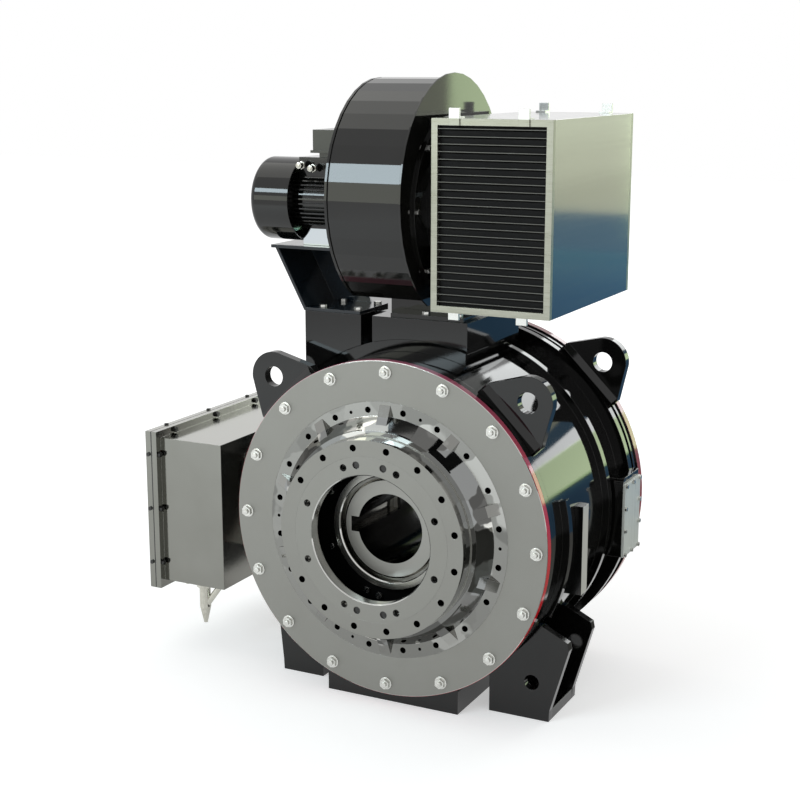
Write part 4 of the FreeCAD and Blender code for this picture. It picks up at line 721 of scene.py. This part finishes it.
studio = {
    "floorSize": 14.0, "floorTone": (0.80, 0.80, 0.80), "floorGlow": (0.44, 0.62), "glowReach": (0.7, 3.2),
    "fill": (0.60, 0.60, 0.60), "white": (1.0, 1.0, 1.0),
    "softboxes": {
        "top": {"from": (-1.5, 0.1, 3.1), "at": (0.0, 0.1, 0.4), "size": (2.4, 2.0), "glow": 0.8,
                "tint": (1.0, 1.0, 0.92)},
        "frontWindow": {"from": (-1.89, -3.31, 2.03), "at": (0.0, -0.05, 0.68), "size": (2.3, 0.62), "glow": 12.5,
                        "tint": (0.78, 0.93, 1.0)},
        "frontStrip": {"from": (-2.0, -3.5, 0.82), "at": (0.0, -0.05, 0.62), "size": (2.4, 0.75), "glow": 1.4,
                       "tint": (0.95, 1.0, 0.82)},
        "greenWindow": {"from": (3.4, 7.57, 0.50), "at": (0.3, 0.2, 0.50), "size": (2.5, 1.58), "glow": 2.35,
                        "tint": (0.74, 1.0, 0.46)},
        "skyWindow": {"from": (1.7, 8.05, 2.95), "at": (0.1, 0.2, 2.2), "size": (4.8, 3.3), "glow": 3.3,
                      "tint": (0.97, 1.0, 1.0)},
    },
    "cards": {
        "sideCard": {"from": (5.7, 0.1, -0.352), "at": (5.7, 0.1, 4.0), "size": (10.6, 2.6),
                     "tone": (0.30, 0.30, 0.28)},
        "floorCard": {"from": (5.7, 6.6, -0.352), "at": (5.7, 6.6, 4.0), "size": (10.6, 10.4),
                      "tone": (0.095, 0.215, 0.37)},
        "filterCard": {"from": (0.82, 1.25, 0.73), "at": (0.82, -2.0, 0.73), "size": (0.48, 0.47),
                       "glow": (0.91, 0.96, 0.76)},
        "filterLow": {"from": (0.82, 1.25, 0.4465), "at": (0.82, -2.0, 0.4465), "size": (0.48, 0.097),
                      "glow": (0.16, 0.30, 0.44)},
        "overheadFlag": {"from": (1.35, -0.5, 2.5), "at": (0.1, 0.0, 0.2), "size": (1.0, 1.2),
                         "tone": (0.02, 0.02, 0.02)},
        "sideFlag": {"from": (2.9, -1.2, 1.2), "at": (0.1, 0.0, 0.2), "size": (0.8, 1.0),
                     "tone": (0.02, 0.02, 0.02)},
    },
}


def matteMaterial(name, tone, rough):
    material = bpy.data.materials.new(name)
    material.use_nodes = True
    inputs = material.node_tree.nodes["Principled BSDF"].inputs
    inputs["Base Color"].default_value = (*tone, 1.0)
    inputs["Roughness"].default_value = rough
    inputs["Specular IOR Level"].default_value = 0.0
    return material, inputs


def cleanRays(tree):
    # 1 for camera, glossy and transmission rays, 0 for the rest
    path = addNode(tree, "ShaderNodeLightPath").outputs
    seen = mathNode(tree, "ADD", path["Is Camera Ray"], path["Is Transmission Ray"], clamp=True)
    return mathNode(tree, "ADD", seen, path["Is Glossy Ray"], clamp=True)


def buildFloor(spec):
    bm = bmesh.new()
    bmesh.ops.create_grid(bm, x_segments=1, y_segments=1, size=spec["floorSize"])
    bmesh.ops.translate(bm, verts=bm.verts, vec=(0.0, 0.0, cadBox[0].z))
    material, inputs = matteMaterial("floorPaper", spec["floorTone"], 0.9)
    tree = material.node_tree
    inputs["Emission Color"].default_value = (*spec["white"], 1.0)
    # the paper is brighter away from the machine, so that it runs into the backdrop
    coords = addNode(tree, "ShaderNodeTexCoord")
    reach = addNode(tree, "ShaderNodeVectorMath", operation="LENGTH")
    tree.links.new(coords.outputs["Object"], reach.inputs[0])
    glow = rangeNode(tree, reach.outputs["Value"], *spec["glowReach"], *spec["floorGlow"])
    tree.links.new(mathNode(tree, "MULTIPLY", cleanRays(tree), glow), inputs["Emission Strength"])
    newObject("floor", bm, material)


def buildSoftbox(name, spec):
    data = bpy.data.lights.new(name, "AREA")
    data.shape = "RECTANGLE"
    data.size, data.size_y = spec["size"]
    data.energy = math.pi * spec["glow"] * spec["size"][0] * spec["size"][1]
    data.color = spec["tint"]
    lamp = bpy.data.objects.new(name, data)
    place = Vector(spec["from"])
    aim = place - Vector(spec["at"])
    lamp.matrix_world = Matrix.Translation(place) @ aim.to_track_quat("Z", "Y").to_matrix().to_4x4()
    lamp.visible_camera = False
    bpy.context.scene.collection.objects.link(lamp)


def buildCard(name, spec):
    # a dark or a shining card that only glossy surfaces see
    bm = bmesh.new()
    bmesh.ops.create_grid(bm, x_segments=1, y_segments=1, size=0.5)
    bmesh.ops.scale(bm, verts=bm.verts, vec=(*spec["size"], 1.0))
    place = Vector(spec["from"])
    turned = (Vector(spec["at"]) - place).to_track_quat("Z", "Y").to_matrix().to_4x4()
    bmesh.ops.transform(bm, matrix=Matrix.Translation(place) @ turned, verts=bm.verts)
    material, inputs = matteMaterial(name + "Cloth", spec.get("tone", (0.0, 0.0, 0.0)), 1.0)
    if "glow" in spec:
        inputs["Emission Color"].default_value = (*spec["glow"], 1.0)
        inputs["Emission Strength"].default_value = 1.0
    card = newObject(name, bm, material)
    card.visible_camera = card.visible_diffuse = card.visible_shadow = False
    card.visible_transmission = card.visible_volume_scatter = False


def buildWorld(spec):
    # clean rays see a white backdrop, the rest a soft grey fill
    world = bpy.data.worlds.new("studio")
    world.use_nodes = True
    bpy.context.scene.world = world
    tree = world.node_tree
    tree.nodes.clear()
    out = addNode(tree, "ShaderNodeOutputWorld")
    sky = addNode(tree, "ShaderNodeBackground")
    tree.links.new(mixColour(tree, cleanRays(tree), spec["fill"], spec["white"]), sky.inputs["Color"])
    tree.links.new(sky.outputs[0], out.inputs["Surface"])


buildFloor(studio)
for cardName, cardSpec in studio["cards"].items():
    buildCard(cardName, cardSpec)
for lampName, lampSpec in studio["softboxes"].items():
    buildSoftbox(lampName, lampSpec)
buildWorld(studio)
bpy.context.scene.view_settings.view_transform = "Standard"
print("studio built")
